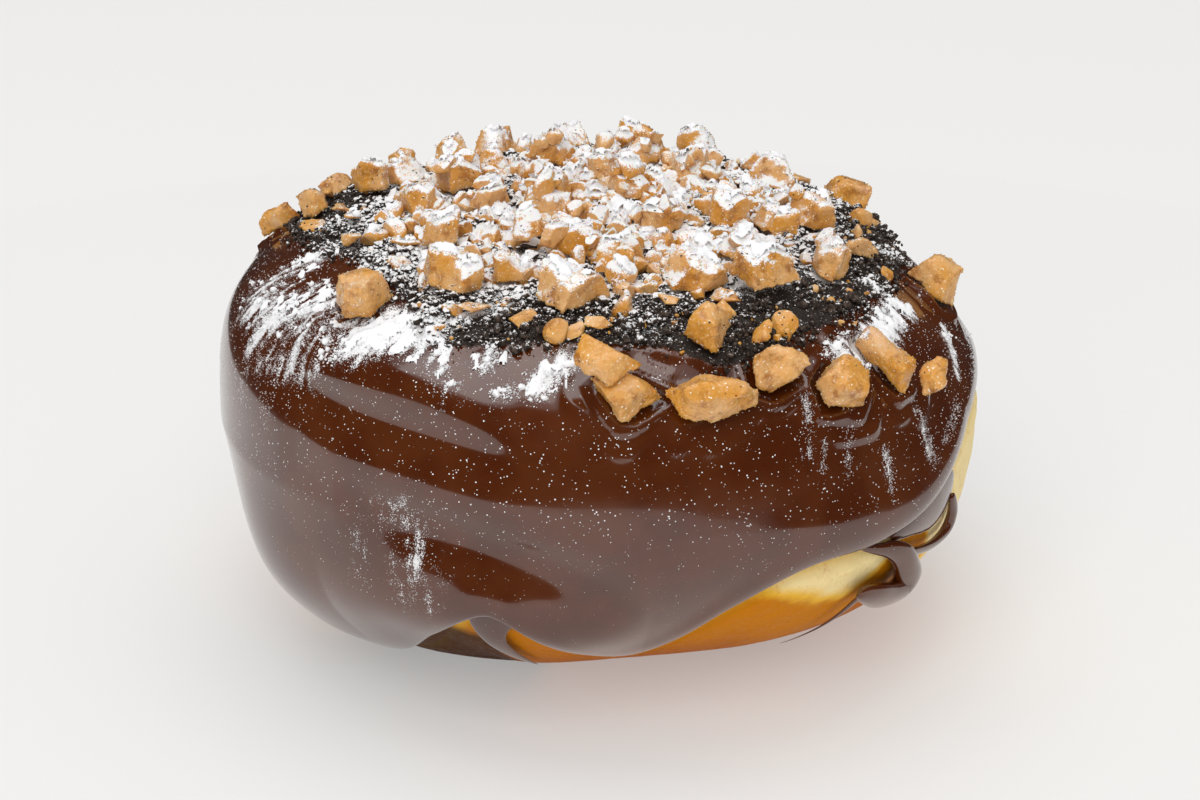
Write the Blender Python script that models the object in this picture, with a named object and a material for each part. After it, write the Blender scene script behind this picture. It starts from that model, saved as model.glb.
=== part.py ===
"""A filled doughnut under poured chocolate glaze, with cookie crumbs and chopped toffee.

Metres, +Z up. The origin is the middle of the flat spot that the doughnut rests on, and its
front faces -Y. A place on it is given by azimuth, in degrees from the front round to the
right, and by its height or by its elevation, in degrees seen from the middle of the waist.
"""
import math
import random
from collections import namedtuple

import bmesh
import bpy
from mathutils import Matrix, Vector, noise
from mathutils.bvhtree import BVHTree

MM = 0.001

# Outer form, with the glaze on
WAIST_RADIUS = 45.8 * MM
WAIST_HEIGHT = 28.5 * MM
CROWN_RISE = 22.0 * MM
BELLY_DROP = 30.5 * MM
CROWN_TILT = 0.045

# Squareness of the crown and of the belly, and the belly's taper: front, right, back, left
CROWN_POWER = (3.4, 2.25, 3.4, 3.8)
BELLY_POWER = (2.0, 2.5, 2.1, 3.6)
BELLY_TAPER = (0.10, 0.0, 0.12, 0.14)

# Azimuth or elevation step used to find the form's slope
SLOPE_STEP = 0.002

# Lower edge of the glaze: azimuth in degrees and height in millimetres
RIM = (
    (-160, 9.6), (-148, 8.8), (-136, 14.0), (-124, 20.5), (-111, 16.5), (-98, 10.0),
    (-84, 6.4), (-70, 5.2), (-56, 5.0), (-45, 5.4), (-37, 7.6), (-27, 13.2), (-19, 17.9),
    (-15, 18.6), (-8, 14.4), (0, 9.2), (7, 8.2), (13, 11.4), (20, 17.2), (30, 22.2),
    (42, 23.0), (54, 25.0), (64, 29.0), (74, 31.6), (88, 32.4), (99, 29.5), (111, 20.5),
    (123, 12.0), (134, 9.4), (145, 12.5), (156, 19.6), (168, 22.8), (180, 20.0), (190, 14.0),
)

# Glaze thickness, its rounded lower edge and the swollen bead above that
GLAZE = 1.9 * MM
EDGE_ROUND = 1.1 * MM
BEAD_RISE = 0.45 * MM
BEAD_ABOVE_EDGE = 2.2 * MM
BEAD_SPREAD = 2.2 * MM

# The dough stays this far behind the glaze, and swells out again below its edge
DOUGH_GAP = 0.6 * MM
DOUGH_LIP = 1.3 * MM
DOUGH_SWELL = 3.0 * MM
BARE_INSET = (0.9 * MM, 0.1 * MM, 0.9 * MM, 1.2 * MM)
DOUGH_DIMPLE = 0.25 * MM
DOUGH_DIMPLE_SIZE = 9 * MM

# Broad swells in the glaze: azimuth in degrees, then height, rise and spread in millimetres
Swell = namedtuple("Swell", "azimuth height rise spread")
SWELLS = (Swell(-60, 12, 2.6, 13), Swell(134, 15, 1.6, 10), Swell(-154, 14, 1.8, 11))

# Long folds where it ran thick and sagged, each through swells in a row round the side; those
# with a rise below nought are furrows
FOLDS = {
    "leaf furrow": (
        Swell(-56, 41.0, 0.0, 2.4), Swell(-47, 40.3, -1.0, 2.5), Swell(-36, 39.4, -1.3, 2.6),
        Swell(-26, 38.8, -1.3, 2.6), Swell(-17, 38.0, -1.0, 2.4), Swell(-9, 37.0, 0.0, 2.2),
    ),
    "leaf crest": (
        Swell(-58, 44.0, 0.0, 3.0), Swell(-47, 43.6, 0.9, 3.0), Swell(-36, 44.2, 1.4, 3.2),
        Swell(-27, 44.2, 1.4, 3.2), Swell(-19, 42.8, 0.8, 3.0), Swell(-12, 41.0, 0.0, 3.0),
    ),
    "front brow": (
        Swell(-48, 34.0, 0.0, 3.5), Swell(-38, 33.5, 0.6, 3.5), Swell(-27, 31.8, 0.7, 3.0),
        Swell(-16, 30.8, 0.7, 3.2), Swell(-6, 29.0, 0.6, 4.4), Swell(6, 25.5, 0.6, 7.0),
        Swell(19, 25.6, 0.8, 6.0), Swell(30, 26.4, 1.2, 4.8), Swell(40, 26.2, 1.3, 4.8),
        Swell(50, 26.8, 1.2, 4.8), Swell(59, 29.0, 0.7, 4.6), Swell(68, 31.5, 0.0, 4.5),
    ),
    "notch furrow": (
        Swell(-40, 30.0, 0.0, 4.0), Swell(-31, 29.4, -1.1, 4.0), Swell(-22, 28.6, -1.3, 4.0),
        Swell(-13, 27.2, -1.4, 4.0), Swell(-7, 25.8, -1.3, 4.0), Swell(-1, 24.6, -0.9, 4.0),
        Swell(6, 23.5, 0.0, 4.0),
    ),
    "notch lip": (
        Swell(-46, 14.0, 0.0, 5.5), Swell(-36, 17.0, 1.6, 5.8), Swell(-27, 18.4, 2.4, 5.6),
        Swell(-18, 18.8, 2.5, 5.4), Swell(-9, 17.4, 2.6, 5.2), Swell(-4, 16.8, 2.4, 5.2),
        Swell(1, 15.6, 1.4, 5.2), Swell(8, 14.0, 0.0, 5.0),
    ),
    "back furrow": (
        Swell(140, 36.0, 0.0, 2.8), Swell(149, 35.0, -1.0, 2.8), Swell(160, 33.5, -1.2, 2.8),
        Swell(171, 31.0, -1.0, 2.8), Swell(180, 29.0, 0.0, 2.8),
    ),
    "back brow": (
        Swell(98, 31.0, 0.0, 4.6), Swell(110, 28.0, 1.0, 4.8), Swell(124, 25.5, 1.1, 5.5),
        Swell(140, 26.0, 0.7, 5.5), Swell(156, 28.0, 1.0, 4.6), Swell(170, 27.5, 1.1, 4.6),
        Swell(186, 26.0, 0.8, 5.0), Swell(200, 27.0, 0.0, 5.0),
    ),
    "left furrow": (
        Swell(-136, 38.0, 0.0, 2.8), Swell(-127, 35.8, -1.0, 2.8), Swell(-118, 33.4, -1.2, 2.8),
        Swell(-108, 31.8, -0.9, 2.8), Swell(-98, 31.0, 0.0, 2.8),
    ),
    "left brow": (
        Swell(-140, 31.0, 0.0, 4.4), Swell(-128, 29.0, 1.0, 4.6), Swell(-116, 26.5, 1.2, 4.8),
        Swell(-102, 26.0, 0.8, 5.0), Swell(-88, 28.0, 0.0, 5.0),
    ),
}

# Bed of cookie crumbs: its lower edge in degrees of azimuth and elevation, and its face
BED_EDGE = (
    (-174, 27), (-150, 29), (-125, 25), (-100, 26), (-80, 32), (-61, 35), (-38, 31),
    (-26, 26), (-10, 28), (10, 27), (20, 23), (38, 25), (64, 25), (90, 23), (116, 22),
    (142, 27), (164, 26),
)
BED_FADE = math.radians(4)
BED_RISE = 0.45 * MM
BED_GRAIN = 0.35 * MM
BED_GRAIN_SIZE = 2.4 * MM
BED_FULL = 0.95

# Mesh of the main forms
COLUMNS = 76
CROWN_ROWS = 20
EDGE_STEPS = (4.4 * MM, 2.4 * MM, 1.1 * MM, 0.35 * MM, 0.0)
UNDER_ROWS = 10
BARE_ROWS = 6

# Runs of glaze below the edge: azimuth in degrees, then height, stand-out from the form,
# half width and half depth in millimetres
RUN_SIDES = 10
RUN_RINGS = 16
RUN_END_POWER = 0.3
RUN_NUDGE = 0.03
Bead = namedtuple("Bead", "azimuth height proud wide deep")
RUNS = {
    "skirt": (
        Bead(54, 28.2, -0.9, 7.2, 0.5), Bead(55, 25.4, -0.5, 7.6, 0.5),
        Bead(57.5, 22.6, 0.2, 6.6, 0.5), Bead(62, 20.0, 0.5, 4.6, 0.5),
        Bead(66, 17.8, 0.6, 2.4, 0.5),
    ),
    "hook": (
        Bead(37, 24.0, -0.2, 1.1, 0.8), Bead(42, 22.0, 0.7, 1.3, 0.9),
        Bead(47, 20.3, 1.0, 1.4, 1.0), Bead(51.5, 18.2, 1.2, 1.5, 1.1),
        Bead(55, 15.4, 1.6, 1.6, 1.3), Bead(56.5, 12.6, 2.0, 1.9, 1.6),
        Bead(53.5, 11.5, 2.1, 2.1, 1.9), Bead(48.5, 13.0, 1.9, 2.1, 1.9),
        Bead(43.5, 15.0, 1.5, 1.9, 1.7),
    ),
    "loop": (
        Bead(66, 22.0, 0.2, 1.0, 0.6), Bead(67.5, 19.2, 0.5, 0.9, 0.7),
        Bead(68, 17.0, 0.7, 0.9, 0.7), Bead(64, 16.4, 0.8, 0.9, 0.7),
        Bead(58, 17.6, 0.9, 0.9, 0.7), Bead(52.5, 18.4, 1.1, 0.9, 0.7),
    ),
    "tongue": (
        Bead(-20, 18.8, -0.9, 2.3, 0.5), Bead(-19.5, 15.8, -0.8, 2.1, 0.5),
        Bead(-18.5, 12.6, 0.2, 1.8, 0.5), Bead(-17.5, 8.6, 0.3, 1.3, 0.5),
        Bead(-15, 5.2, 0.4, 0.8, 0.5),
    ),
}

# Chunks of toffee that show clearly: azimuth and elevation in degrees, length, width and
# height in millimetres, and the turn of the length from level, in degrees
Chunk = namedtuple("Chunk", "azimuth elevation length width height turn")
FRONT_CHUNKS = (
    Chunk(3.5, 20, 8.4, 6.4, 2.9, -15), Chunk(0.7, 22, 7.4, 5.2, 2.4, -20),
    Chunk(16, 18.5, 10.8, 5.6, 4.0, -5), Chunk(20, 28, 5.8, 5.2, 3.2, 30),
    Chunk(28, 21, 6.0, 5.2, 3.6, -10), Chunk(38, 16.5, 6.8, 6.2, 4.0, 15),
    Chunk(49, 17.5, 8.2, 2.8, 2.8, 105), Chunk(53, 13, 4.4, 3.8, 2.8, 40),
    Chunk(85, 18.5, 6.8, 5.0, 4.4, 75), Chunk(-7, 37, 7.0, 6.6, 4.0, 50),
    Chunk(24, 40, 7.4, 6.8, 3.8, -60), Chunk(39, 34, 7.4, 6.0, 4.0, -25),
    Chunk(61, 32, 5.6, 4.8, 3.8, 60), Chunk(-48, 29, 7.0, 6.6, 4.2, 30),
    Chunk(-36, 37, 9.0, 5.6, 4.2, -5), Chunk(-24, 41, 4.6, 3.8, 2.8, -20),
    Chunk(6, 47, 8.4, 4.0, 3.4, 35), Chunk(-10, 56, 8.0, 4.4, 3.4, 10),
    Chunk(-54, 72, 6.8, 5.6, 4.0, -10), Chunk(46, 65, 6.8, 5.0, 3.2, 20),
    Chunk(71, 54, 5.2, 4.4, 4.2, 80), Chunk(48, 44, 6.2, 5.0, 3.2, -20),
    Chunk(80, 46, 5.2, 4.2, 3.0, 20), Chunk(88, 38, 7.0, 6.0, 4.0, -35),
    Chunk(148, 75, 6.4, 4.2, 2.8, -15), Chunk(-29, 54, 4.6, 4.2, 4.0, 75),
    Chunk(-60, 46, 5.2, 4.2, 3.8, 75), Chunk(-96, 58, 5.6, 4.8, 2.8, 15),
    Chunk(-94, 45, 5.2, 4.4, 3.6, 60), Chunk(-115, 34, 6.2, 3.8, 4.0, 70),
    Chunk(-104, 29, 4.8, 4.2, 3.0, 50), Chunk(-107, 23, 6.6, 3.2, 2.6, 75),
    Chunk(-121, 26, 5.6, 3.4, 2.2, -10), Chunk(-133, 30, 4.4, 3.6, 2.8, 20),
    Chunk(-145, 32, 5.0, 4.0, 3.0, -30), Chunk(-164, 46, 7.4, 5.0, 3.2, 0),
    Chunk(170, 33, 7.0, 4.8, 3.4, 10), Chunk(156, 33, 6.0, 5.0, 3.8, -20),
    Chunk(58, 40, 3.8, 3.2, 2.8, 0), Chunk(80, 30, 4.6, 2.6, 2.2, -30),
)
BACK_CHUNKS = 15
BACK_CHUNK_SPAN = (118, 246)
BACK_CHUNK_LENGTH = (4.8, 7.6)
BACK_CHUNK_WIDTH = (0.6, 0.9)
BACK_CHUNK_HEIGHT = (0.42, 0.56)
TOFFEE_SEED = 2026
CHUNK_CORNERS = 2
CHUNK_TILT = math.radians(7)
CHUNK_CLEARANCE = 0.45 * MM
CHUNK_START = 7 * MM
CHUNK_DROP_STEP = 0.1 * MM
CHUNK_HIGHEST = 1.4 * MM

# Broken toffee before it is fitted to its size: a block struck flat by planes whose leans and
# distances from the middle are drawn from these spans
BLOCK_SIZE = 4.0
TOP_LEAN = (-0.25, 0.25)
SIDE_COUNTS = (4, 5, 5, 6)
SIDE_JITTER = (-0.22, 0.22)
SIDE_LEAN = (-0.15, 0.4)
SIDE_REACH = (0.75, 1.0)
CORNER_LEAN = (0.6, 1.4)
CORNER_REACH = (0.82, 1.0)

# Small pieces fused to the glaze
CHIP_COUNT = 46
CHIP_LENGTH = (2.8, 4.4)
CHIP_WIDTH = (0.6, 0.9)
CHIP_HEIGHT = (0.6, 0.8)
CRUMB_COUNT = 46
CRUMB_LENGTH = (1.7, 2.6)
CRUMB_WIDTH = (0.7, 1.0)
CRUMB_HEIGHT = 0.8
CRUMB_ROUGHNESS = (0.8, 1.15)
ALL_ROUND = (-180, 180)
SMALL_PIECE_SEED = 77
SMALL_PIECE_TRIES = 4000
SMALL_PIECE_SINK = 0.38
SMALL_PIECE_CLEARANCE = 0.35 * MM
SCATTER_RADIUS = 42 * MM


def around(azimuth, sides):
    """Value at an azimuth, blended smoothly between those of the four sides."""
    front, right, back, left = sides
    return ((front + right + back + left) / 4
            + (front - back) / 2 * math.cos(azimuth)
            + (right - left) / 2 * math.sin(azimuth)
            + (front + back - right - left) / 4 * math.cos(2 * azimuth))


def curve_value(knots, angle):
    """Smooth value at an angle between the middle two of four (angle, value) knots."""
    (a0, v0), (a1, v1), (a2, v2), (a3, v3) = knots
    span = a2 - a1
    leave = (v2 - v0) / (a2 - a0) * span
    arrive = (v3 - v1) / (a3 - a1) * span
    t = (angle - a1) / span
    return ((2 * t ** 3 - 3 * t ** 2 + 1) * v1 + (t ** 3 - 2 * t ** 2 + t) * leave
            + (3 * t ** 2 - 2 * t ** 3) * v2 + (t ** 3 - t ** 2) * arrive)


def loop_value(points, azimuth):
    """Value at an azimuth of the smooth closed curve through (degrees, value) points."""
    count = len(points)
    first = points[0][0]
    angle = (math.degrees(azimuth) - first) % 360 + first
    index = max(place for place in range(count) if points[place][0] <= angle)
    knots = []
    for number in range(index - 1, index + 3):
        turns, place = divmod(number, count)
        knots.append((points[place][0] + 360 * turns, points[place][1]))
    return curve_value(knots, angle)


def smooth(value):
    """Soft step from 0 to 1."""
    value = max(0.0, min(1.0, value))
    return value * value * (3 - 2 * value)


def hill(distance, spread):
    """Soft hill that is 1 in its middle."""
    return math.exp(-(distance / spread) ** 2)


def body_point(azimuth, elevation, inset=0.0):
    """Point of the outer form, or of the same form drawn in by inset."""
    above = elevation >= 0
    rise = CROWN_RISE - inset if above else BELLY_DROP
    power = around(azimuth, CROWN_POWER if above else BELLY_POWER)
    level = max(math.cos(elevation), 0.0) / (WAIST_RADIUS - inset)
    climb = abs(math.sin(elevation)) / rise
    reach = (level ** power + climb ** power) ** (-1 / power)
    height = reach * math.sin(elevation)
    taper = 1 - around(azimuth, BELLY_TAPER) * max(-height, 0.0) / WAIST_HEIGHT
    radius = reach * max(math.cos(elevation), 0.0) * taper
    tilt = CROWN_TILT * radius * math.sin(azimuth) * max(math.sin(elevation), 0.0)
    return Vector((radius * math.sin(azimuth), -radius * math.cos(azimuth),
                   WAIST_HEIGHT + height + tilt))


def elevation_at(azimuth, height, inset=0.0):
    """Elevation at which the form drawn in by inset has a height."""
    climb = height - WAIST_HEIGHT
    above = climb >= 0
    rise = CROWN_RISE - inset if above else BELLY_DROP
    power = around(azimuth, CROWN_POWER if above else BELLY_POWER)
    level = (WAIST_RADIUS - inset) * (1 - (abs(climb) / rise) ** power) ** (1 / power)
    return math.atan2(climb, level)


def rim_elevation(azimuth):
    """Elevation of the glaze's lower edge."""
    return elevation_at(azimuth, loop_value(RIM, azimuth) * MM)


def surface_frame(azimuth, elevation):
    """Level direction and outward normal of the outer form."""
    if elevation > math.pi / 2 - 2 * SLOPE_STEP:
        return Vector((1, 0, 0)), Vector((0, 0, 1))
    level = (body_point(azimuth + SLOPE_STEP, elevation)
             - body_point(azimuth - SLOPE_STEP, elevation))
    upward = (body_point(azimuth, elevation + SLOPE_STEP)
              - body_point(azimuth, elevation - SLOPE_STEP))
    return level.normalized(), level.cross(upward).normalized()


def place_on_form(azimuth_degrees, height_mm):
    """Point of the outer form at an azimuth in degrees and a height in millimetres."""
    azimuth = math.radians(azimuth_degrees)
    return body_point(azimuth, elevation_at(azimuth, height_mm * MM))


SWELL_PLACES = [(place_on_form(swell.azimuth, swell.height), swell) for swell in SWELLS]


def fold_relief(azimuth, height, fold):
    """How far one fold stands out at an azimuth and a height, in millimetres."""
    first = fold[0].azimuth
    angle = (math.degrees(azimuth) - first) % 360 + first
    last = len(fold) - 1
    if angle >= fold[last].azimuth:
        return 0.0
    index = max(place for place in range(last) if fold[place].azimuth <= angle)
    near = [fold[max(0, min(last, index + step))] for step in (-1, 0, 1, 2)]
    middle, rise, spread = (curve_value([(swell.azimuth, swell[column]) for swell in near], angle)
                            for column in (1, 2, 3))
    return rise * hill(height - middle, spread)


def bed_share(azimuth, elevation):
    """1 inside the bed of crumbs, 0 outside it."""
    edge = math.radians(loop_value(BED_EDGE, azimuth))
    return smooth((elevation - edge) / BED_FADE + 0.5)


def glaze_relief(azimuth, elevation):
    """How far the glaze's face stands out from the outer form."""
    point = body_point(azimuth, elevation)
    relief = sum(swell.rise * hill((point - middle).length / MM, swell.spread)
                 for middle, swell in SWELL_PLACES)
    relief += sum(fold_relief(azimuth, point.z / MM, fold) for fold in FOLDS.values())
    grain = noise.noise(point / BED_GRAIN_SIZE) * BED_GRAIN
    return relief * MM + bed_share(azimuth, elevation) * (BED_RISE + grain)


def glaze_point(azimuth, ring):
    """Point of the glaze: over the crown, round the edge, and back up its inner face."""
    rim = rim_elevation(azimuth)
    if ring > CROWN_ROWS + len(EDGE_STEPS):
        rows_up = ring - CROWN_ROWS - len(EDGE_STEPS)
        elevation = rim + (math.pi / 2 - rim) * rows_up / UNDER_ROWS
        return body_point(azimuth, elevation, GLAZE)
    reach = (body_point(azimuth, rim) - Vector((0, 0, WAIST_HEIGHT))).length
    if ring > CROWN_ROWS:
        above_edge = EDGE_STEPS[ring - CROWN_ROWS - 1]
        elevation = rim + above_edge / reach
    else:
        lowest = rim + (EDGE_STEPS[0] + EDGE_STEPS[1]) / reach
        elevation = math.pi / 2 + (lowest - math.pi / 2) * ring / CROWN_ROWS
        above_edge = (elevation - rim) * reach
    bead = BEAD_RISE * hill(above_edge - BEAD_ABOVE_EDGE, BEAD_SPREAD)
    thickness = GLAZE + glaze_relief(azimuth, elevation) + bead
    edge = 1 - min(above_edge / EDGE_ROUND, 1.0)
    thickness *= math.sqrt(1 - edge ** 2)
    return body_point(azimuth, elevation, GLAZE - thickness)


def dough_inset(azimuth, height, rim_height):
    """How far the dough lies inside the outer form, covered or bare."""
    covered = GLAZE + DOUGH_GAP
    bare = around(azimuth, BARE_INSET)
    share = smooth((rim_height - DOUGH_LIP - height) / DOUGH_SWELL)
    return covered + (bare - covered) * share


def dough_point(azimuth, ring):
    """Point of the dough: under the glaze, down its bare skin, and on its flat spot."""
    if ring > UNDER_ROWS + BARE_ROWS:
        return Vector((0, 0, 0))
    rim = rim_elevation(azimuth)
    if ring <= UNDER_ROWS:
        elevation = math.pi / 2 + (rim - math.pi / 2) * ring / UNDER_ROWS
        return body_point(azimuth, elevation, GLAZE + DOUGH_GAP)
    rim_height = loop_value(RIM, azimuth) * MM
    share = (ring - UNDER_ROWS - 1) / (BARE_ROWS - 1)
    height = (rim_height - DOUGH_LIP) * (1 - share)
    inset = dough_inset(azimuth, height, rim_height)
    if 0 < share < 1:
        place = body_point(azimuth, elevation_at(azimuth, height)) / DOUGH_DIMPLE_SIZE
        inset += DOUGH_DIMPLE * (1 + noise.noise(place)) / 2
    return body_point(azimuth, elevation_at(azimuth, height, inset), inset)


def ringed_form(rings, place):
    """Closed form: a sphere whose vertices are moved to place(azimuth, ring)."""
    form = bmesh.new()
    bmesh.ops.create_uvsphere(form, u_segments=COLUMNS, v_segments=rings, radius=1.0)
    for vert in form.verts:
        ring = round(math.acos(max(-1.0, min(1.0, vert.co.z))) / math.pi * rings)
        vert.co = place(math.atan2(vert.co.x, -vert.co.y), ring)
    bmesh.ops.triangulate(form, faces=form.faces, quad_method="SHORT_EDGE")
    return form


def principled(name, colour, roughness, coat=0.0):
    """Material with one colour and gloss."""
    material = bpy.data.materials.new(name)
    material.use_nodes = True
    shader = material.node_tree.nodes["Principled BSDF"]
    shader.inputs["Base Color"].default_value = (*colour, 1.0)
    shader.inputs["Roughness"].default_value = roughness
    shader.inputs["Coat Weight"].default_value = coat
    return material


def fried_dough_finish():
    """Golden crust."""
    return principled("fried_dough", (0.60, 0.33, 0.10), 0.6)


def chocolate_finish():
    """Dark glossy glaze."""
    return principled("chocolate_glaze", (0.075, 0.026, 0.012), 0.18, coat=0.4)


def toffee_finish():
    """Amber toffee."""
    return principled("toffee", (0.58, 0.27, 0.07), 0.38)


def new_object(name, form, finish, smooth_faces):
    """Object from a bmesh, with its material, linked to the scene."""
    mesh = bpy.data.meshes.new(name)
    form.to_mesh(mesh)
    form.free()
    if smooth_faces:
        mesh.shade_smooth()
    if finish:
        mesh.materials.append(finish)
    item = bpy.data.objects.new(name, mesh)
    bpy.context.scene.collection.objects.link(item)
    return item


def bead_at(beads, along):
    """Azimuth, height, stand-out, half width and half depth part way along a run."""
    last = len(beads) - 1
    index = min(int(along * last), last - 1)
    t = along * last - index
    before, start, end, after = (Vector(beads[max(0, min(last, index + step))])
                                 for step in (-1, 0, 1, 2))
    return 0.5 * (2 * start + (end - before) * t
                  + (2 * before - 5 * start + 4 * end - after) * t ** 2
                  + (3 * start - before - 3 * end + after) * t ** 3)


def glaze_run(beads):
    """Run of glaze wrapped on the form: a sphere drawn out along its beads."""
    run = bmesh.new()
    bmesh.ops.create_uvsphere(run, u_segments=RUN_SIDES, v_segments=RUN_RINGS, radius=1.0)
    degree = math.radians(1) * WAIST_RADIUS / MM
    for vert in run.verts:
        along = math.acos(max(-1.0, min(1.0, -vert.co.z))) / math.pi
        azimuth, height, proud, wide, deep = bead_at(beads, along)
        ahead = (bead_at(beads, min(1.0, along + RUN_NUDGE))
                 - bead_at(beads, max(0.0, along - RUN_NUDGE)))
        heading = Vector((ahead[0] * degree, ahead[1])).normalized()
        turn = math.atan2(vert.co.y, vert.co.x)
        fullness = math.sin(math.pi * along) ** RUN_END_POWER if 0 < along < 1 else 0.0
        sideways = wide * fullness * math.cos(turn)
        azimuth = math.radians(azimuth - heading.y * sideways / degree)
        height = (height + heading.x * sideways) * MM
        outward = (proud + deep * fullness * math.sin(turn)) * MM
        vert.co = body_point(azimuth, elevation_at(azimuth, height), -outward)
    bmesh.ops.recalc_face_normals(run, faces=run.faces)
    return run


def strike_off(lump, normal, reach):
    """Cut a lump flat at a distance from its middle."""
    cut = bmesh.ops.bisect_plane(lump, geom=lump.verts[:] + lump.edges[:] + lump.faces[:],
                                 plane_co=normal * reach, plane_no=normal, clear_outer=True)
    edges = [item for item in cut["geom_cut"] if isinstance(item, bmesh.types.BMEdge)]
    if edges:
        bmesh.ops.edgeloop_fill(lump, edges=edges)


def broken_lump(size, corners, draw):
    """Convex broken lump with flat sides and struck corners, its underside at z = 0."""
    lump = bmesh.new()
    bmesh.ops.create_cube(lump, size=BLOCK_SIZE)
    strike_off(lump, Vector((0, 0, -1)), 1.0)
    top_normal = Vector((draw.uniform(*TOP_LEAN), draw.uniform(*TOP_LEAN), 1)).normalized()
    strike_off(lump, top_normal, 1.0)
    sides = draw.choice(SIDE_COUNTS)
    start = draw.uniform(0, 2 * math.pi)
    for side in range(sides):
        turn = start + 2 * math.pi * (side + draw.uniform(*SIDE_JITTER)) / sides
        lean = draw.uniform(*SIDE_LEAN)
        normal = Vector((math.cos(turn), math.sin(turn), lean)).normalized()
        strike_off(lump, normal, draw.uniform(*SIDE_REACH))
    for _ in range(corners):
        turn = draw.uniform(0, 2 * math.pi)
        normal = Vector((math.cos(turn), math.sin(turn), draw.uniform(*CORNER_LEAN))).normalized()
        strike_off(lump, normal, draw.uniform(*CORNER_REACH))
    low, high = bounds(lump)
    span = high - low
    fit = Matrix.Diagonal([size[axis] / span[axis] for axis in range(3)]).to_4x4()
    middle = Vector(((low.x + high.x) / 2, (low.y + high.y) / 2, low.z))
    bmesh.ops.transform(lump, matrix=fit @ Matrix.Translation(-middle), verts=lump.verts)
    bmesh.ops.recalc_face_normals(lump, faces=lump.faces)
    return lump


def round_crumb(size, draw):
    """Rough crumb, its underside at z = 0."""
    crumb = bmesh.new()
    bmesh.ops.create_icosphere(crumb, subdivisions=1, radius=0.5)
    for vert in crumb.verts:
        vert.co *= draw.uniform(*CRUMB_ROUGHNESS)
        vert.co.z += 0.5
    scale = Matrix.Diagonal(size).to_4x4()
    bmesh.ops.transform(crumb, matrix=scale, verts=crumb.verts)
    return crumb


def bounds(form):
    """Lowest and highest corners of a bmesh."""
    low = Vector([min(vert.co[axis] for vert in form.verts) for axis in range(3)])
    high = Vector([max(vert.co[axis] for vert in form.verts) for axis in range(3)])
    return low, high


def seat_matrix(azimuth, elevation, turn, lean, lift):
    """Frame that stands on the glaze, turned about its normal and lifted along it."""
    level, normal = surface_frame(azimuth, elevation)
    frame = Matrix((level, normal.cross(level), normal)).transposed().to_4x4()
    spin = Matrix.Rotation(turn, 4, "Z")
    tip = Matrix.Rotation(lean[0], 4, "X") @ Matrix.Rotation(lean[1], 4, "Y")
    place = body_point(azimuth, elevation) + normal * lift
    return Matrix.Translation(place) @ frame @ spin @ tip


def grown_tree(form, matrix, clearance):
    """Search tree of a convex lump in its place, grown by a clearance."""
    low, high = bounds(form)
    middle = (low + high) / 2
    grow = [1 + 2 * clearance / (high[axis] - low[axis]) for axis in range(3)]
    form.verts.index_update()
    points = [matrix @ (middle + Vector([(vert.co[axis] - middle[axis]) * grow[axis]
                                         for axis in range(3)])) for vert in form.verts]
    faces = [[vert.index for vert in face.verts] for face in form.faces]
    return BVHTree.FromPolygons(points, faces)


def settled_seat(form, azimuth, elevation, turn, lean, trees):
    """Place of a lump that is lowered on to the glaze until it is just clear of everything."""
    lift = CHUNK_START
    seat = None, math.inf
    while lift > -CHUNK_HIGHEST:
        matrix = seat_matrix(azimuth, elevation, turn, lean, lift)
        grown = grown_tree(form, matrix, CHUNK_CLEARANCE)
        if any(grown.overlap(tree) for tree in trees):
            break
        seat = matrix, lift
        lift -= CHUNK_DROP_STEP
    return seat


def crown_elevation(azimuth, radius):
    """Elevation at which the crown is at a distance from the upright axis."""
    power = around(azimuth, CROWN_POWER)
    climb = CROWN_RISE * (1 - (radius / WAIST_RADIUS) ** power) ** (1 / power)
    return math.atan2(climb, radius)


def scatter_place(draw, span):
    """Random azimuth in a span, and elevation, evenly spread over the bed of crumbs."""
    while True:
        azimuth = math.radians(draw.uniform(*span))
        elevation = crown_elevation(azimuth, SCATTER_RADIUS * math.sqrt(draw.random()))
        if bed_share(azimuth, elevation) > BED_FULL:
            return azimuth, elevation


def place_chunk(form, number, seat, finish):
    """Toffee chunk as its own object, standing in its seat."""
    chunk = new_object(f"toffee_{number:02d}", form, finish, smooth_faces=False)
    chunk.matrix_world = seat
    return chunk


def make_chunks(glaze_tree, finish):
    """All large chunks of toffee; returns their search trees."""
    draw = random.Random(TOFFEE_SEED)
    trees = [glaze_tree]
    for spec in FRONT_CHUNKS:
        size = (spec.length * MM, spec.width * MM, spec.height * MM)
        form = broken_lump(size, CHUNK_CORNERS, draw)
        lean = [draw.uniform(-CHUNK_TILT, CHUNK_TILT) for _ in range(2)]
        seat, _ = settled_seat(form, math.radians(spec.azimuth), math.radians(spec.elevation),
                               math.radians(spec.turn), lean, trees)
        trees.append(grown_tree(form, seat, 0.0))
        place_chunk(form, len(trees) - 1, seat, finish)
    while len(trees) <= len(FRONT_CHUNKS) + BACK_CHUNKS:
        length = draw.uniform(*BACK_CHUNK_LENGTH) * MM
        width = length * draw.uniform(*BACK_CHUNK_WIDTH)
        height = length * draw.uniform(*BACK_CHUNK_HEIGHT)
        form = broken_lump((length, width, height), CHUNK_CORNERS, draw)
        lean = [draw.uniform(-CHUNK_TILT, CHUNK_TILT) for _ in range(2)]
        azimuth, elevation = scatter_place(draw, BACK_CHUNK_SPAN)
        seat, lift = settled_seat(form, azimuth, elevation, draw.uniform(0, math.pi), lean, trees)
        if lift > CHUNK_HIGHEST:
            form.free()
            continue
        trees.append(grown_tree(form, seat, 0.0))
        place_chunk(form, len(trees) - 1, seat, finish)
    return trees[1:]


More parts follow.
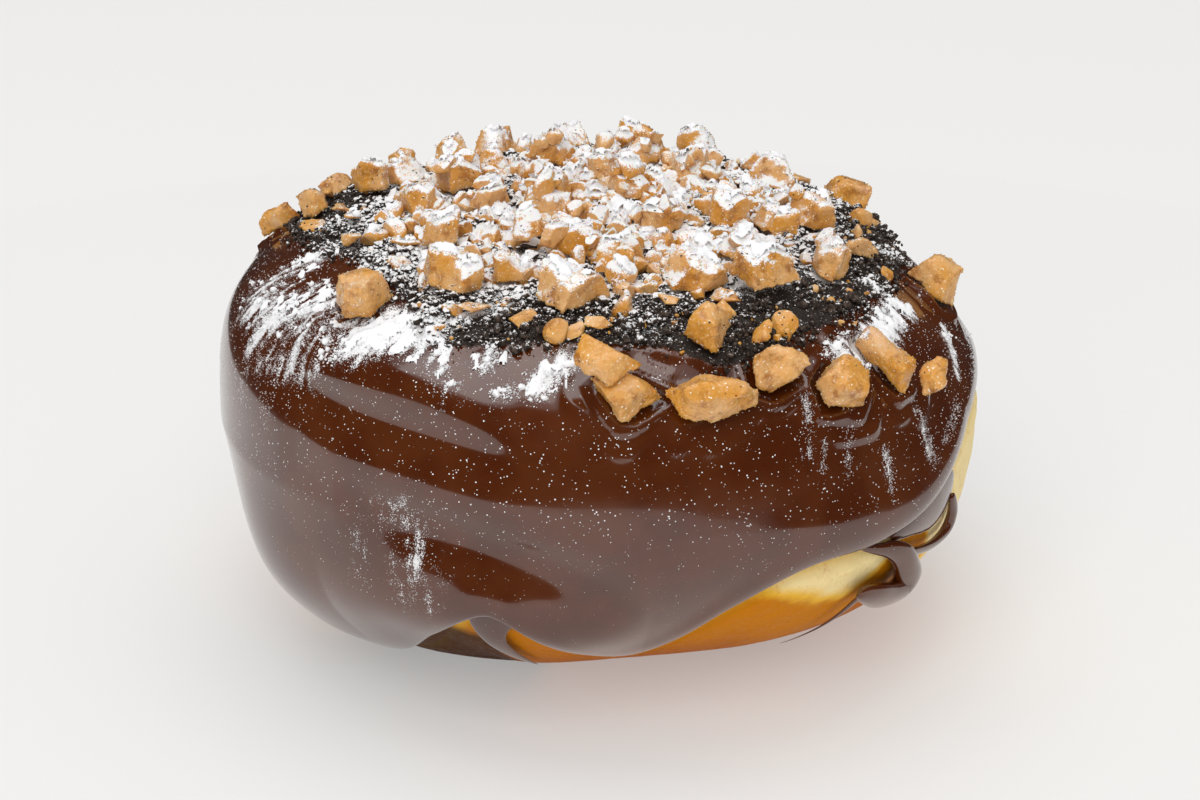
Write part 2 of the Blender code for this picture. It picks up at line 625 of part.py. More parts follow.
def small_piece(kind, draw):
    """Chip of toffee or crumb of cookie."""
    if kind == "chip":
        length = draw.uniform(*CHIP_LENGTH) * MM
        size = (length, length * draw.uniform(*CHIP_WIDTH), length * draw.uniform(*CHIP_HEIGHT))
        return broken_lump(size, 1, draw)
    length = draw.uniform(*CRUMB_LENGTH) * MM
    return round_crumb((length, length * draw.uniform(*CRUMB_WIDTH), length * CRUMB_HEIGHT), draw)


def face_lift(glaze_tree, azimuth, elevation):
    """How far the glaze's face stands out from the outer form, on the mesh itself."""
    _, normal = surface_frame(azimuth, elevation)
    start = body_point(azimuth, elevation) + normal * CHUNK_START
    return CHUNK_START - glaze_tree.ray_cast(start, -normal)[3]


def scatter_small_pieces(glaze_tree, chunk_trees, pool):
    """Chips, then crumbs, spread over the bed and kept clear of the large chunks."""
    draw = random.Random(SMALL_PIECE_SEED)
    taken = list(chunk_trees)
    for kind, count in (("chip", CHIP_COUNT), ("crumb", CRUMB_COUNT)):
        placed = 0
        for _ in range(SMALL_PIECE_TRIES):
            if placed == count:
                break
            form = small_piece(kind, draw)
            azimuth, elevation = scatter_place(draw, ALL_ROUND)
            lift = (face_lift(glaze_tree, azimuth, elevation)
                    - SMALL_PIECE_SINK * bounds(form)[1].z)
            seat = seat_matrix(azimuth, elevation, draw.uniform(0, math.pi), (0, 0), lift)
            grown = grown_tree(form, seat, SMALL_PIECE_CLEARANCE)
            if any(grown.overlap(tree) for tree in taken):
                form.free()
                continue
            taken.append(grown_tree(form, seat, 0.0))
            bmesh.ops.transform(form, matrix=seat, verts=form.verts)
            pool.objects.link(new_object(f"{kind}_{placed:03d}", form, None, False))
            placed += 1


def fuse(icing, pool):
    """Join the pool's pieces to the icing, and remove them."""
    union = icing.modifiers.new("toppings", "BOOLEAN")
    union.operation = "UNION"
    union.operand_type = "COLLECTION"
    union.collection = pool
    union.solver = "EXACT"
    graph = bpy.context.evaluated_depsgraph_get()
    fused = bpy.data.meshes.new_from_object(icing.evaluated_get(graph))
    icing.modifiers.clear()
    icing.data = fused
    for piece in list(pool.objects):
        bpy.data.objects.remove(piece)
    bpy.data.collections.remove(pool)


def make_icing(finish):
    """Glaze before anything is fused to it, and its search tree."""
    shell = ringed_form(CROWN_ROWS + len(EDGE_STEPS) + UNDER_ROWS, glaze_point)
    tree = BVHTree.FromBMesh(shell)
    return new_object("icing", shell, finish, smooth_faces=True), tree


def make_dough(finish):
    """Solid fried dough."""
    form = ringed_form(UNDER_ROWS + BARE_ROWS + 1, dough_point)
    return new_object("dough", form, finish, smooth_faces=True)


def main():
    """Build the doughnut."""
    for item in list(bpy.data.objects):
        bpy.data.objects.remove(item)
    make_dough(fried_dough_finish())
    icing, glaze_tree = make_icing(chocolate_finish())
    chunk_trees = make_chunks(glaze_tree, toffee_finish())
    pool = bpy.data.collections.new("small pieces")
    bpy.context.scene.collection.children.link(pool)
    for name, beads in RUNS.items():
        pool.objects.link(new_object(name, glaze_run(beads), None, smooth_faces=True))
    scatter_small_pieces(glaze_tree, chunk_trees, pool)
    fuse(icing, pool)


main()
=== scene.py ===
"""Looks of a filled doughnut under poured chocolate glaze, crumbs, broken toffee and icing sugar.

Metres, +Z up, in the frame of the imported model. A place on the doughnut is given by azimuth,
from the front round to the right, and by height or by elevation seen from the middle of the
waist. The outer form, the glaze's edge and its folds repeat the part's own numbers. The runs
below the edge follow the part's, with finer places.
"""
import logging
import math
from collections import namedtuple
from dataclasses import dataclass, field
from enum import Enum
from functools import cached_property

import bmesh
import bpy
import numpy as np
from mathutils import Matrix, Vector, noise
from mathutils.bvhtree import BVHTree


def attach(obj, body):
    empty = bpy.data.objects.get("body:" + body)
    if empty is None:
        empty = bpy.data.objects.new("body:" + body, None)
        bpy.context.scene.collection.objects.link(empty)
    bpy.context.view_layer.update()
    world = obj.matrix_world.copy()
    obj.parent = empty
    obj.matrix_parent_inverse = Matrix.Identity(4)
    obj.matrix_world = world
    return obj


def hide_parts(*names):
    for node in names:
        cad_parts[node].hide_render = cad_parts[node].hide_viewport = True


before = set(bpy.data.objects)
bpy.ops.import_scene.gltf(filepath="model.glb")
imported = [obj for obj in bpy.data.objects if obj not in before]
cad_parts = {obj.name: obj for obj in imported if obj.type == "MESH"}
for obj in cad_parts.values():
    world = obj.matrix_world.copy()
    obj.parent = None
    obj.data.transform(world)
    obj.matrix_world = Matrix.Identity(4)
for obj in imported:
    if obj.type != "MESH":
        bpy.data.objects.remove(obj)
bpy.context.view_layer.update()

MM = 0.001
LOG = logging.getLogger("doughnut")

Swell = namedtuple("Swell", "azimuth height rise spread")
Bead = namedtuple("Bead", "azimuth height proud wide deep")
Dusting = namedtuple("Dusting", "azimuth elevation to_azimuth to_elevation width amount")
Grain = namedtuple("Grain", "place normal on_toffee")
Layer = namedtuple("Layer", "rise size shift")
SoftLight = namedtuple("SoftLight", "name place size power mirrored")
Strewn = namedtuple("Strewn", "name finish slot count small large detail uneven strikes")


class Slot(Enum):
    """Finish slots of the record."""

    DOUGH = "dough"
    ICING = "icing"
    TOFFEE = "toffee"


def smooth(value: np.ndarray) -> np.ndarray:
    """Soft step from 0 to 1."""
    value = np.clip(value, 0.0, 1.0)
    return value * value * (3 - 2 * value)


def hill(distance: np.ndarray, spread: float) -> np.ndarray:
    """Soft hill that is 1 in its middle."""
    return np.exp(-(distance / spread) ** 2)


def rough(points: np.ndarray, size: float, shift: float = 0.0) -> np.ndarray:
    """Smooth random value at each point.

    Args:
        points: Points, one to a row.
        size: Size of the bumps.
        shift: Distance that moves the pattern, so that two patterns differ.

    Returns:
        Values between about -1 and 1.
    """
    return np.array([noise.noise(point) for point in (points / size + shift).tolist()])


def layered(points: np.ndarray, layers: tuple) -> np.ndarray:
    """Sum of smooth random values, each layer with a rise, a size and a shift."""
    return sum(layer.rise * rough(points, layer.size, layer.shift) for layer in layers)


def path_distance(points: np.ndarray, path: np.ndarray) -> np.ndarray:
    """Distance from each point to a chain of straight lines.

    Args:
        points: Points, one to a row.
        path: The chain's corners, one to a row.

    Returns:
        Distances.
    """
    nearest = np.full(len(points), np.inf)
    for start, end in zip(path, path[1:]):
        span = end - start
        along = np.clip((points - start) @ span / (span @ span), 0.0, 1.0)
        nearest = np.minimum(nearest, np.linalg.norm(points - start - along[:, None] * span, axis=1))
    return nearest


def curve_value(knots: list, angle: np.ndarray) -> np.ndarray:
    """Smooth value at each angle between the middle two of its four knots.

    Args:
        knots: Four pairs of angles and values.
        angle: Angles between those of the second and the third pair.

    Returns:
        Values.
    """
    (a0, v0), (a1, v1), (a2, v2), (a3, v3) = knots
    span = a2 - a1
    leave = (v2 - v0) / (a2 - a0) * span
    arrive = (v3 - v1) / (a3 - a1) * span
    t = (angle - a1) / span
    return ((2 * t ** 3 - 3 * t ** 2 + 1) * v1 + (t ** 3 - 2 * t ** 2 + t) * leave
            + (3 * t ** 2 - 2 * t ** 3) * v2 + (t ** 3 - t ** 2) * arrive)


def loop_value(places: tuple, azimuth: np.ndarray) -> np.ndarray:
    """Value at each azimuth of the smooth closed curve through some places.

    Args:
        places: Pairs of azimuth in degrees and value, in rising order.
        azimuth: Azimuths in radians.

    Returns:
        Values.
    """
    table = np.array(places, dtype=float)
    first = table[0, 0]
    angle = (np.degrees(azimuth) - first) % 360 + first
    index = np.searchsorted(table[:, 0], angle, side="right") - 1

    def knot(number: np.ndarray) -> tuple:
        """Azimuth and value of a place, counted on round the circle."""
        turns, place = np.divmod(number, len(table))
        return table[place, 0] + 360 * turns, table[place, 1]

    return curve_value([knot(index + step) for step in (-1, 0, 1, 2)], angle)


def fold_relief(azimuth: np.ndarray, height: np.ndarray, fold: tuple) -> np.ndarray:
    """How far one fold of the glaze stands out.

    Args:
        azimuth: Azimuths in radians.
        height: Heights in millimetres.
        fold: Swells in a row round the side, in degrees and millimetres.

    Returns:
        Reliefs in millimetres.
    """
    table = np.array(fold, dtype=float)
    first, final = table[0, 0], table[-1, 0]
    angle = (np.degrees(azimuth) - first) % 360 + first
    within = np.minimum(angle, final)
    last = len(table) - 1
    index = np.clip(np.searchsorted(table[:, 0], within, side="right") - 1, 0, last - 1)
    near = [table[np.clip(index + step, 0, last)] for step in (-1, 0, 1, 2)]
    middle, rise, spread = (curve_value([(row[:, 0], row[:, column]) for row in near], within)
                            for column in (1, 2, 3))
    return np.where(angle < final, rise * hill(height - middle, spread), 0.0)


def around(azimuth: np.ndarray, sides: tuple) -> np.ndarray:
    """Value at each azimuth, blended between those of four sides.

    Args:
        azimuth: Azimuths in radians.
        sides: Values of the front, right, back and left.

    Returns:
        Values.
    """
    front, right, back, left = sides
    return ((front + right + back + left) / 4
            + (front - back) / 2 * np.cos(azimuth)
            + (right - left) / 2 * np.sin(azimuth)
            + (front + back - right - left) / 4 * np.cos(2 * azimuth))


@dataclass(frozen=True)
class OuterForm:
    """Outer form of the doughnut with its glaze on, without folds."""

    waist_radius: float = 45.8 * MM
    waist_height: float = 28.5 * MM
    crown_rise: float = 22.0 * MM
    belly_drop: float = 30.5 * MM
    crown_tilt: float = 0.045
    crown_power: tuple = (3.4, 2.25, 3.4, 3.8)
    belly_power: tuple = (2.0, 2.5, 2.1, 3.6)
    belly_taper: tuple = (0.10, 0.0, 0.12, 0.14)
    slope_step: float = 0.002
    rim: tuple = (
        (-160, 9.6), (-148, 8.8), (-136, 14.0), (-124, 20.5), (-111, 16.5), (-98, 10.0),
        (-84, 6.4), (-70, 5.2), (-56, 5.0), (-45, 5.4), (-37, 7.6), (-27, 13.2), (-19, 17.9),
        (-15, 18.6), (-8, 14.4), (0, 9.2), (7, 8.2), (13, 11.4), (20, 17.2), (30, 22.2),
        (42, 23.0), (54, 25.0), (64, 29.0), (74, 31.6), (88, 32.4), (99, 29.5), (111, 20.5),
        (123, 12.0), (134, 9.4), (145, 12.5), (156, 19.6), (168, 22.8), (180, 20.0), (190, 14.0),
    )
    bed_edge: tuple = (
        (-174, 27), (-150, 29), (-125, 25), (-100, 26), (-80, 32), (-61, 35), (-38, 31),
        (-26, 26), (-10, 28), (10, 27), (20, 23), (38, 25), (64, 25), (90, 23), (116, 22),
        (142, 27), (164, 26),
    )
    bed_fade: float = 4.0

    def point(self, azimuth: np.ndarray, elevation: np.ndarray, inset: float = 0.0) -> np.ndarray:
        """Points of the form, or of the same form drawn in.

        Args:
            azimuth: Azimuths in radians.
            elevation: Elevations in radians.
            inset: How far the form is drawn in.

        Returns:
            Points, one to a row.
        """
        above = elevation >= 0
        rise = np.where(above, self.crown_rise - inset, self.belly_drop)
        power = np.where(above, around(azimuth, self.crown_power), around(azimuth, self.belly_power))
        level = np.maximum(np.cos(elevation), 0.0)
        reach = ((level / (self.waist_radius - inset)) ** power
                 + (np.abs(np.sin(elevation)) / rise) ** power) ** (-1 / power)
        height = reach * np.sin(elevation)
        taper = 1 - around(azimuth, self.belly_taper) * np.maximum(-height, 0) / self.waist_height
        radius = reach * level * taper
        tilt = self.crown_tilt * radius * np.sin(azimuth) * np.maximum(np.sin(elevation), 0.0)
        return np.stack([radius * np.sin(azimuth), -radius * np.cos(azimuth),
                         self.waist_height + height + tilt], axis=-1)

    def elevation_at(self, azimuth: np.ndarray, height: np.ndarray, inset: float = 0.0) -> np.ndarray:
        """Elevation at which the form, or the same form drawn in, has a height.

        Args:
            azimuth: Azimuths in radians.
            height: Heights above the ground.
            inset: How far the form is drawn in.

        Returns:
            Elevations in radians.
        """
        climb = np.asarray(height) - self.waist_height
        above = climb >= 0
        rise = np.where(above, self.crown_rise - inset, self.belly_drop)
        power = np.where(above, around(azimuth, self.crown_power), around(azimuth, self.belly_power))
        share = np.clip(1 - (np.abs(climb) / rise) ** power, 0.0, 1.0)
        return np.arctan2(climb, (self.waist_radius - inset) * share ** (1 / power))

    def rim_elevation(self, azimuth: np.ndarray) -> np.ndarray:
        """Elevation of the glaze's lower edge."""
        return self.elevation_at(azimuth, loop_value(self.rim, azimuth) * MM)

    def normal(self, azimuth: np.ndarray, elevation: np.ndarray) -> np.ndarray:
        """Outward normals of the form.

        Args:
            azimuth: Azimuths in radians.
            elevation: Elevations in radians.

        Returns:
            Normals, one to a row.
        """
        elevation = np.minimum(elevation, math.pi / 2 - 2 * self.slope_step)
        level = (self.point(azimuth + self.slope_step, elevation)
                 - self.point(azimuth - self.slope_step, elevation))
        upward = (self.point(azimuth, elevation + self.slope_step)
                  - self.point(azimuth, elevation - self.slope_step))
        normal = np.cross(level, upward)
        return normal / np.linalg.norm(normal, axis=-1, keepdims=True)

    def bed_share(self, azimuth: np.ndarray, elevation: np.ndarray) -> np.ndarray:
        """1 inside the bed of crumbs, 0 outside it."""
        edge = loop_value(self.bed_edge, azimuth)
        return smooth((np.degrees(elevation) - edge) / self.bed_fade + 0.5)

    def place(self, azimuth: float, height: float) -> np.ndarray:
        """Point at an azimuth in degrees and a height in millimetres."""
        turn = np.array([math.radians(azimuth)])
        return self.point(turn, self.elevation_at(turn, np.array([height * MM])))[0]

    def spot(self, azimuth: float, elevation: float) -> np.ndarray:
        """Point at an azimuth and an elevation in degrees."""
        return self.point(np.array([math.radians(azimuth)]), np.array([math.radians(elevation)]))[0]


FORM = OuterForm()


class Graph:
    """Short calls that add and link the nodes of one material."""

    def __init__(self, name: str) -> None:
        """Start a material with its Principled shader and Object coordinates.

        Args:
            name: Name of the material.
        """
        self.material = bpy.data.materials.new(name)
        self.material.use_nodes = True
        self.tree = self.material.node_tree
        self.shader = self.tree.nodes["Principled BSDF"]
        self.place = self.tree.nodes.new("ShaderNodeTexCoord").outputs["Object"]

    def feed(self, socket: bpy.types.NodeSocket, value: object) -> None:
        """Link a socket to a value that is a socket, or set it.

        Args:
            socket: The socket to feed.
            value: Another node's socket, a number, or a colour of three shares.
        """
        if isinstance(value, bpy.types.NodeSocket):
            self.tree.links.new(value, socket)
        elif isinstance(value, tuple) and len(value) == 3 and socket.type == "RGBA":
            socket.default_value = (*value, 1.0)
        else:
            socket.default_value = value

    def set(self, **values: object) -> None:
        """Feed the Principled shader's sockets, named with _ for each space."""
        for name, value in values.items():
            self.feed(self.shader.inputs[name.replace("_", " ")], value)

    def noise(self, size: float, detail: float = 3.0, roughness: float = 0.55) -> bpy.types.NodeSocket:
        """Noise over the piece.

        Args:
            size: Size of its bumps in millimetres.
            detail: How many finer layers it has.
            roughness: Strength of the finer layers.

        Returns:
            Socket with values round 0.5.
        """
        node = self.tree.nodes.new("ShaderNodeTexNoise")
        self.feed(node.inputs["Vector"], self.place)
        self.feed(node.inputs["Scale"], 1 / (size * MM))
        self.feed(node.inputs["Detail"], detail)
        self.feed(node.inputs["Roughness"], roughness)
        return node.outputs["Fac"]

    def cells(self, size: float) -> bpy.types.NodeSocket:
        """Distance from the middle of the nearest cell.

        Args:
            size: Size of the cells in millimetres.

        Returns:
            Socket with the distance in shares of that size.
        """
        node = self.tree.nodes.new("ShaderNodeTexVoronoi")
        self.feed(node.inputs["Vector"], self.place)
        self.feed(node.inputs["Scale"], 1 / (size * MM))
        return node.outputs["Distance"]

    def attribute(self, name: str) -> bpy.types.NodeSocket:
        """Value of a mesh attribute."""
        node = self.tree.nodes.new("ShaderNodeAttribute")
        node.attribute_name = name
        return node.outputs["Fac"]

    def height(self) -> bpy.types.NodeSocket:
        """Height of the place shaded."""
        node = self.tree.nodes.new("ShaderNodeSeparateXYZ")
        self.feed(node.inputs["Vector"], self.place)
        return node.outputs["Z"]

    def calc(self, operation: str, *values: object) -> bpy.types.NodeSocket:
        """Result of a sum.

        Args:
            operation: Name of the sum, as the Math node has it.
            values: One to three numbers or sockets.

        Returns:
            Socket with the result.
        """
        node = self.tree.nodes.new("ShaderNodeMath")
        node.operation = operation
        for socket, value in zip(node.inputs, values):
            self.feed(socket, value)
        return node.outputs["Value"]

    def span(self, value: bpy.types.NodeSocket, low: object, high: object, start: object = 0.0,
             end: object = 1.0) -> bpy.types.NodeSocket:
        """Value moved from one span to another, softly and within its ends.

        Args:
            value: The value to move.
            low: Where the first span starts.
            high: Where the first span ends.
            start: Where the second span starts.
            end: Where the second span ends.

        Returns:
            Socket with the moved value.
        """
        node = self.tree.nodes.new("ShaderNodeMapRange")
        node.interpolation_type = "SMOOTHSTEP"
        for name, feed in (("Value", value), ("From Min", low), ("From Max", high),
                           ("To Min", start), ("To Max", end)):
            self.feed(node.inputs[name], feed)
        return node.outputs["Result"]

    def mix(self, share: object, first: object, second: object) -> bpy.types.NodeSocket:
        """Colour between two colours.

        Args:
            share: How much of the second, from 0 to 1.
            first: The colour at 0.
            second: The colour at 1.

        Returns:
            Socket with the colour.
        """
        node = self.tree.nodes.new("ShaderNodeMix")
        node.data_type = "RGBA"
        self.feed(node.inputs["Factor"], share)
        colours = [socket for socket in node.inputs if socket.type == "RGBA"]
        self.feed(colours[0], first)
        self.feed(colours[1], second)
        return next(socket for socket in node.outputs if socket.type == "RGBA")

    def bump(self, height: bpy.types.NodeSocket, depth: float,
             under: object = None) -> bpy.types.NodeSocket:
        """Normal that follows a height.

        Args:
            height: The height, in shares of the depth.
            depth: The depth in millimetres.
            under: Another bump that this one lies on.

        Returns:
            Socket with the normal.
        """
        node = self.tree.nodes.new("ShaderNodeBump")
        self.feed(node.inputs["Height"], height)
        self.feed(node.inputs["Distance"], depth * MM)
        self.feed(node.inputs["Strength"], 1.0)
        if under:
            self.feed(node.inputs["Normal"], under)
        return node.outputs["Normal"]

    def sugar_mask(self, amount: bpy.types.NodeSocket, speck: float = 0.22) -> bpy.types.NodeSocket:
        """Specks and patches of sugar, more of them where the amount is greater.

        Args:
            amount: How much sugar lies there, from 0 to 1.
            speck: Size of a speck in millimetres.

        Returns:
            Socket that is 1 on sugar.
        """
        specks = self.noise(speck, detail=2.0, roughness=0.75)
        patches = self.noise(1.3, detail=4.0, roughness=0.6)
        mixed = self.calc("ADD", self.calc("MULTIPLY", specks, 0.62),
                          self.calc("MULTIPLY", patches, 0.38))
        limit = self.calc("SUBTRACT", 0.73, self.calc("MULTIPLY", amount, 0.34))
        return self.span(self.calc("SUBTRACT", mixed, limit), -0.02, 0.02)


@dataclass(frozen=True)
class ChocolateFinish:
    """Dark milk chocolate glaze, glossy, with dusted sugar and a dark bed of crumbs."""

    deep: tuple = (0.068, 0.012, 0.0010)
    light: tuple = (0.090, 0.020, 0.0030)
    crumb: tuple = (0.026, 0.017, 0.012)
    sugar: tuple = (0.88, 0.87, 0.87)
    gloss: float = 0.5

    def material(self) -> bpy.types.Material:
        """The finish as a material."""
        graph = Graph("chocolate glaze")
        tone = graph.mix(graph.span(graph.noise(7.0, detail=2.0), 0.35, 0.65), self.deep, self.light)
        bed = graph.attribute("bed")
        coarse = graph.noise(0.8, detail=4.0, roughness=0.65)
        bed_mask = graph.span(graph.calc("ADD", bed, graph.calc("MULTIPLY", coarse, 0.6)), 0.98, 1.16)
        tone = graph.mix(bed_mask, tone, self.crumb)
        white = graph.sugar_mask(graph.attribute("sugar"), 0.16)
        share = graph.calc("MULTIPLY", graph.span(graph.height(), 18.0 * MM, 34.0 * MM, 0.08, 0.21),
                           graph.span(graph.noise(1.1, detail=3.0, roughness=0.7), 0.34, 0.64))
        specks = graph.calc("LESS_THAN", graph.cells(0.46), share)
        white = graph.calc("MAXIMUM", white, specks)
        graph.set(Base_Color=graph.mix(white, tone, self.sugar), IOR=1.5, Specular_IOR_Level=0.7,
                  Coat_Roughness=0.05, Coat_IOR=1.55)
        gloss = graph.span(graph.noise(2.2, detail=2.0), 0.3, 0.7, 0.14, 0.19)
        dull = graph.calc("MAXIMUM", bed_mask, white)
        graph.set(Roughness=graph.calc("ADD", gloss, graph.calc("MULTIPLY", dull, 0.6)))
        relief = graph.bump(graph.calc("MULTIPLY", coarse, bed_mask), 0.5)
        graph.set(Normal=graph.bump(graph.calc("MULTIPLY", white, graph.noise(0.3)), 0.12, relief))
        weight = graph.calc("SUBTRACT", 1.0, dull)
        graph.set(Coat_Weight=graph.calc("MULTIPLY", weight, self.gloss))
        return graph.material


@dataclass(frozen=True)
class DoughFinish:
    """Fried dough: pale and yellow at the waist, golden brown lower down."""

    brown: tuple = (0.44, 0.118, 0.003)
    golden: tuple = (0.60, 0.200, 0.002)
    yellow: tuple = (0.90, 0.52, 0.050)
    pale: tuple = (0.98, 0.77, 0.38)
    # Painted shadow: near-black brown laid on the dough below the glaze's left lobe, beside the fold,
    # where shade falls.
    painted_shadow: tuple = (0.045, 0.016, 0.006)

    def material(self) -> bpy.types.Material:
        """The finish as a material."""
        graph = Graph("fried dough")
        waver = graph.calc("MULTIPLY", graph.calc("SUBTRACT", graph.noise(6.0), 0.5), 5.0)
        level = graph.calc("ADD", graph.attribute("level"), waver)
        tone = graph.mix(graph.span(level, -14.0, -4.0), self.brown, self.golden)
        tone = graph.mix(graph.span(level, -1.2, 0.8), tone, self.yellow)
        tone = graph.mix(graph.span(level, 0.3, 2.4), tone, self.pale)
        # Painted warm bounce light: saturated yellow on the dough just under the glaze's lip.
        tone = graph.mix(graph.calc("MULTIPLY", graph.attribute("lip"), 0.8), tone, self.yellow)
        blotch = graph.span(graph.noise(1.6, detail=5.0, roughness=0.65), 0.5, 0.8, 0.0, 0.35)
        tone = graph.mix(blotch, tone, self.golden)
        pores = graph.span(graph.noise(0.45, detail=3.0, roughness=0.6), 0.62, 0.8, 0.0, 0.5)
        tone = graph.mix(pores, tone, self.brown)
        # Painted shadow: darkens the dough to near-black brown below the glaze's left lobe, beside the
        # fold.
        tone = graph.mix(graph.attribute("painted_shadow"), tone, self.painted_shadow)
        skin = graph.noise(0.7, detail=4.0)
        relief = graph.bump(skin, 0.10, graph.bump(graph.noise(2.6, detail=3.0), 0.3))
        graph.set(Base_Color=tone, Roughness=graph.span(skin, 0.3, 0.7, 0.45, 0.65),
                  Specular_IOR_Level=0.05, Normal=relief, Subsurface_Weight=0.2,
                  Subsurface_Scale=0.0015)
        graph.shader.inputs["Subsurface Radius"].default_value = (1.0, 0.6, 0.25)
        return graph.material


@dataclass(frozen=True)
class ToffeeFinish:
    """Broken toffee with a sugary grain, dark specks and dusted sugar."""

    tan: tuple = (0.76, 0.42, 0.155)
    amber: tuple = (0.70, 0.315, 0.040)
    brown: tuple = (0.36, 0.115, 0.012)
    film: tuple = (0.88, 0.64, 0.36)
    crystal: tuple = (0.95, 0.86, 0.70)
    speck: tuple = (0.03, 0.018, 0.012)
    sugar: tuple = (0.90, 0.89, 0.88)

    def material(self) -> bpy.types.Material:
        """The finish as a material."""
        graph = Graph("broken toffee")
        tone = graph.mix(graph.span(graph.noise(5.5, detail=1.0), 0.38, 0.62), self.amber, self.tan)
        tone = graph.mix(graph.span(graph.noise(1.9, detail=4.0, roughness=0.62), 0.48, 0.70, 0.0, 0.8),
                         tone, self.brown)
        grain = graph.noise(0.33, detail=3.0, roughness=0.6)
        tone = graph.mix(graph.span(grain, 0.54, 0.70, 0.0, 0.6), tone, self.film)
        crystals = graph.calc("MULTIPLY", graph.calc("LESS_THAN", graph.cells(0.5), 0.2),
                              graph.span(graph.noise(1.4, detail=2.0), 0.48, 0.6))
        tone = graph.mix(crystals, tone, self.crystal)
        spots = graph.calc("LESS_THAN", graph.cells(0.8), 0.13)
        where = graph.span(graph.noise(4.5, detail=1.0), 0.55, 0.62)
        tone = graph.mix(graph.calc("MULTIPLY", spots, where), tone, self.speck)
        amount = graph.attribute("sugar")
        haze = graph.span(amount, 0.0, 1.0, 0.0, 0.45)
        tone = graph.mix(graph.calc("MULTIPLY", haze, graph.span(graph.noise(1.8), 0.35, 0.7)),
                         tone, self.sugar)
        white = graph.sugar_mask(amount)
        relief = graph.bump(grain, 0.09, graph.bump(graph.noise(1.1, detail=4.0), 0.22))
        graph.set(Base_Color=graph.mix(white, tone, self.sugar),
                  Roughness=graph.calc("ADD", graph.span(grain, 0.3, 0.7, 0.27, 0.45),
                                       graph.calc("MULTIPLY", white, 0.35)),
                  Specular_IOR_Level=0.6, Normal=relief, Subsurface_Weight=0.25,
                  Subsurface_Scale=0.0010, Coat_Roughness=0.18, Coat_IOR=1.5)
        graph.set(Coat_Weight=graph.span(graph.noise(2.4), 0.42, 0.6, 0.05, 0.7))
        graph.shader.inputs["Subsurface Radius"].default_value = (1.0, 0.45, 0.15)
        return graph.material


@dataclass(frozen=True)
class CrumbFinish:
    """Near-black cookie crumbs."""

    dark: tuple = (0.026, 0.018, 0.014)
    light: tuple = (0.125, 0.088, 0.067)
    sugar: tuple = (0.84, 0.84, 0.84)

    def material(self) -> bpy.types.Material:
        """The finish as a material."""
        graph = Graph("cookie crumb")
        tone = graph.mix(graph.span(graph.noise(0.5, detail=3.0), 0.4, 0.75), self.dark, self.light)
        white = graph.sugar_mask(graph.attribute("sugar"))
        graph.set(Base_Color=graph.mix(white, tone, self.sugar), Roughness=0.8,
                  Specular_IOR_Level=0.3, Normal=graph.bump(graph.noise(0.25, detail=3.0), 0.08))
        return graph.material


@dataclass(frozen=True)
class SugarFinish:
    """Icing sugar."""

    white: tuple = (0.90, 0.90, 0.91)
    grey: tuple = (0.84, 0.84, 0.86)

    def material(self) -> bpy.types.Material:
        """The finish as a material."""
        graph = Graph("icing sugar")
        shade = graph.span(graph.noise(0.8, detail=2.0), 0.3, 0.7, 0.0, 0.12)
        graph.set(Base_Color=graph.mix(shade, self.white, self.grey), Roughness=0.8,
                  Specular_IOR_Level=0.2, Subsurface_Weight=0.6, Subsurface_Scale=0.0006)
        graph.shader.inputs["Subsurface Radius"].default_value = (1.0, 1.0, 1.0)
        return graph.material


def new_piece(name: str, mesh: bpy.types.Mesh, finish: bpy.types.Material,
              soft: bool = True) -> bpy.types.Object:
    """Object at the origin that rides on the doughnut.

    Args:
        name: Name of the piece.
        mesh: Its mesh, already in place.
        finish: Its material.
        soft: Whether its faces are shaded smooth.

    Returns:
        The object.
    """
    if soft:
        mesh.shade_smooth()
    mesh.materials.clear()
    mesh.materials.append(finish)
    piece = bpy.data.objects.new(name, mesh)
    bpy.context.scene.collection.objects.link(piece)
    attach(piece, "root")
    LOG.info("%s: %d faces", name, len(mesh.polygons))
    return piece


def mesh_points(mesh: bpy.types.Mesh) -> np.ndarray:
    """Vertices of a mesh, one to a row."""
    points = np.empty(len(mesh.vertices) * 3)
    mesh.vertices.foreach_get("co", points)
    return points.reshape(-1, 3)


def move_points(mesh: bpy.types.Mesh, points: np.ndarray) -> None:
    """Give a mesh's vertices new places."""
    mesh.vertices.foreach_set("co", np.ascontiguousarray(points, dtype=np.float32).ravel())
    mesh.update()


def mesh_normals(mesh: bpy.types.Mesh) -> np.ndarray:
    """Normals of a mesh's vertices, one to a row."""
    normals = np.empty(len(mesh.vertices) * 3)
    mesh.vertex_normals.foreach_get("vector", normals)
    return normals.reshape(-1, 3)


def paint(mesh: bpy.types.Mesh, name: str, values: np.ndarray) -> None:
    """Store a value for each vertex."""
    layer = mesh.attributes.new(name, "FLOAT", "POINT")
    layer.data.foreach_set("value", np.asarray(values, dtype=np.float32))


def tree_of(mesh: bpy.types.Mesh) -> BVHTree:
    """Search tree of a mesh."""
    return BVHTree.FromPolygons([vert.co for vert in mesh.vertices],
                                [face.vertices for face in mesh.polygons])


def tree_of_all(meshes: list) -> BVHTree:
    """Search tree of several meshes together.

    Args:
        meshes: The meshes.

    Returns:
        The tree.
    """
    joined = bmesh.new()
    for mesh in meshes:
        joined.from_mesh(mesh)
    tree = BVHTree.FromBMesh(joined)
    joined.free()
    return tree


def merged_node(name: str) -> bmesh.types.BMesh:
    """Copy of a node's mesh with its loose triangles joined.

    Args:
        name: Name of the node.

    Returns:
        The copy.
    """
    form = bmesh.new()
    form.from_mesh(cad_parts[name].data)
    bmesh.ops.remove_doubles(form, verts=form.verts, dist=1e-6)
    return form


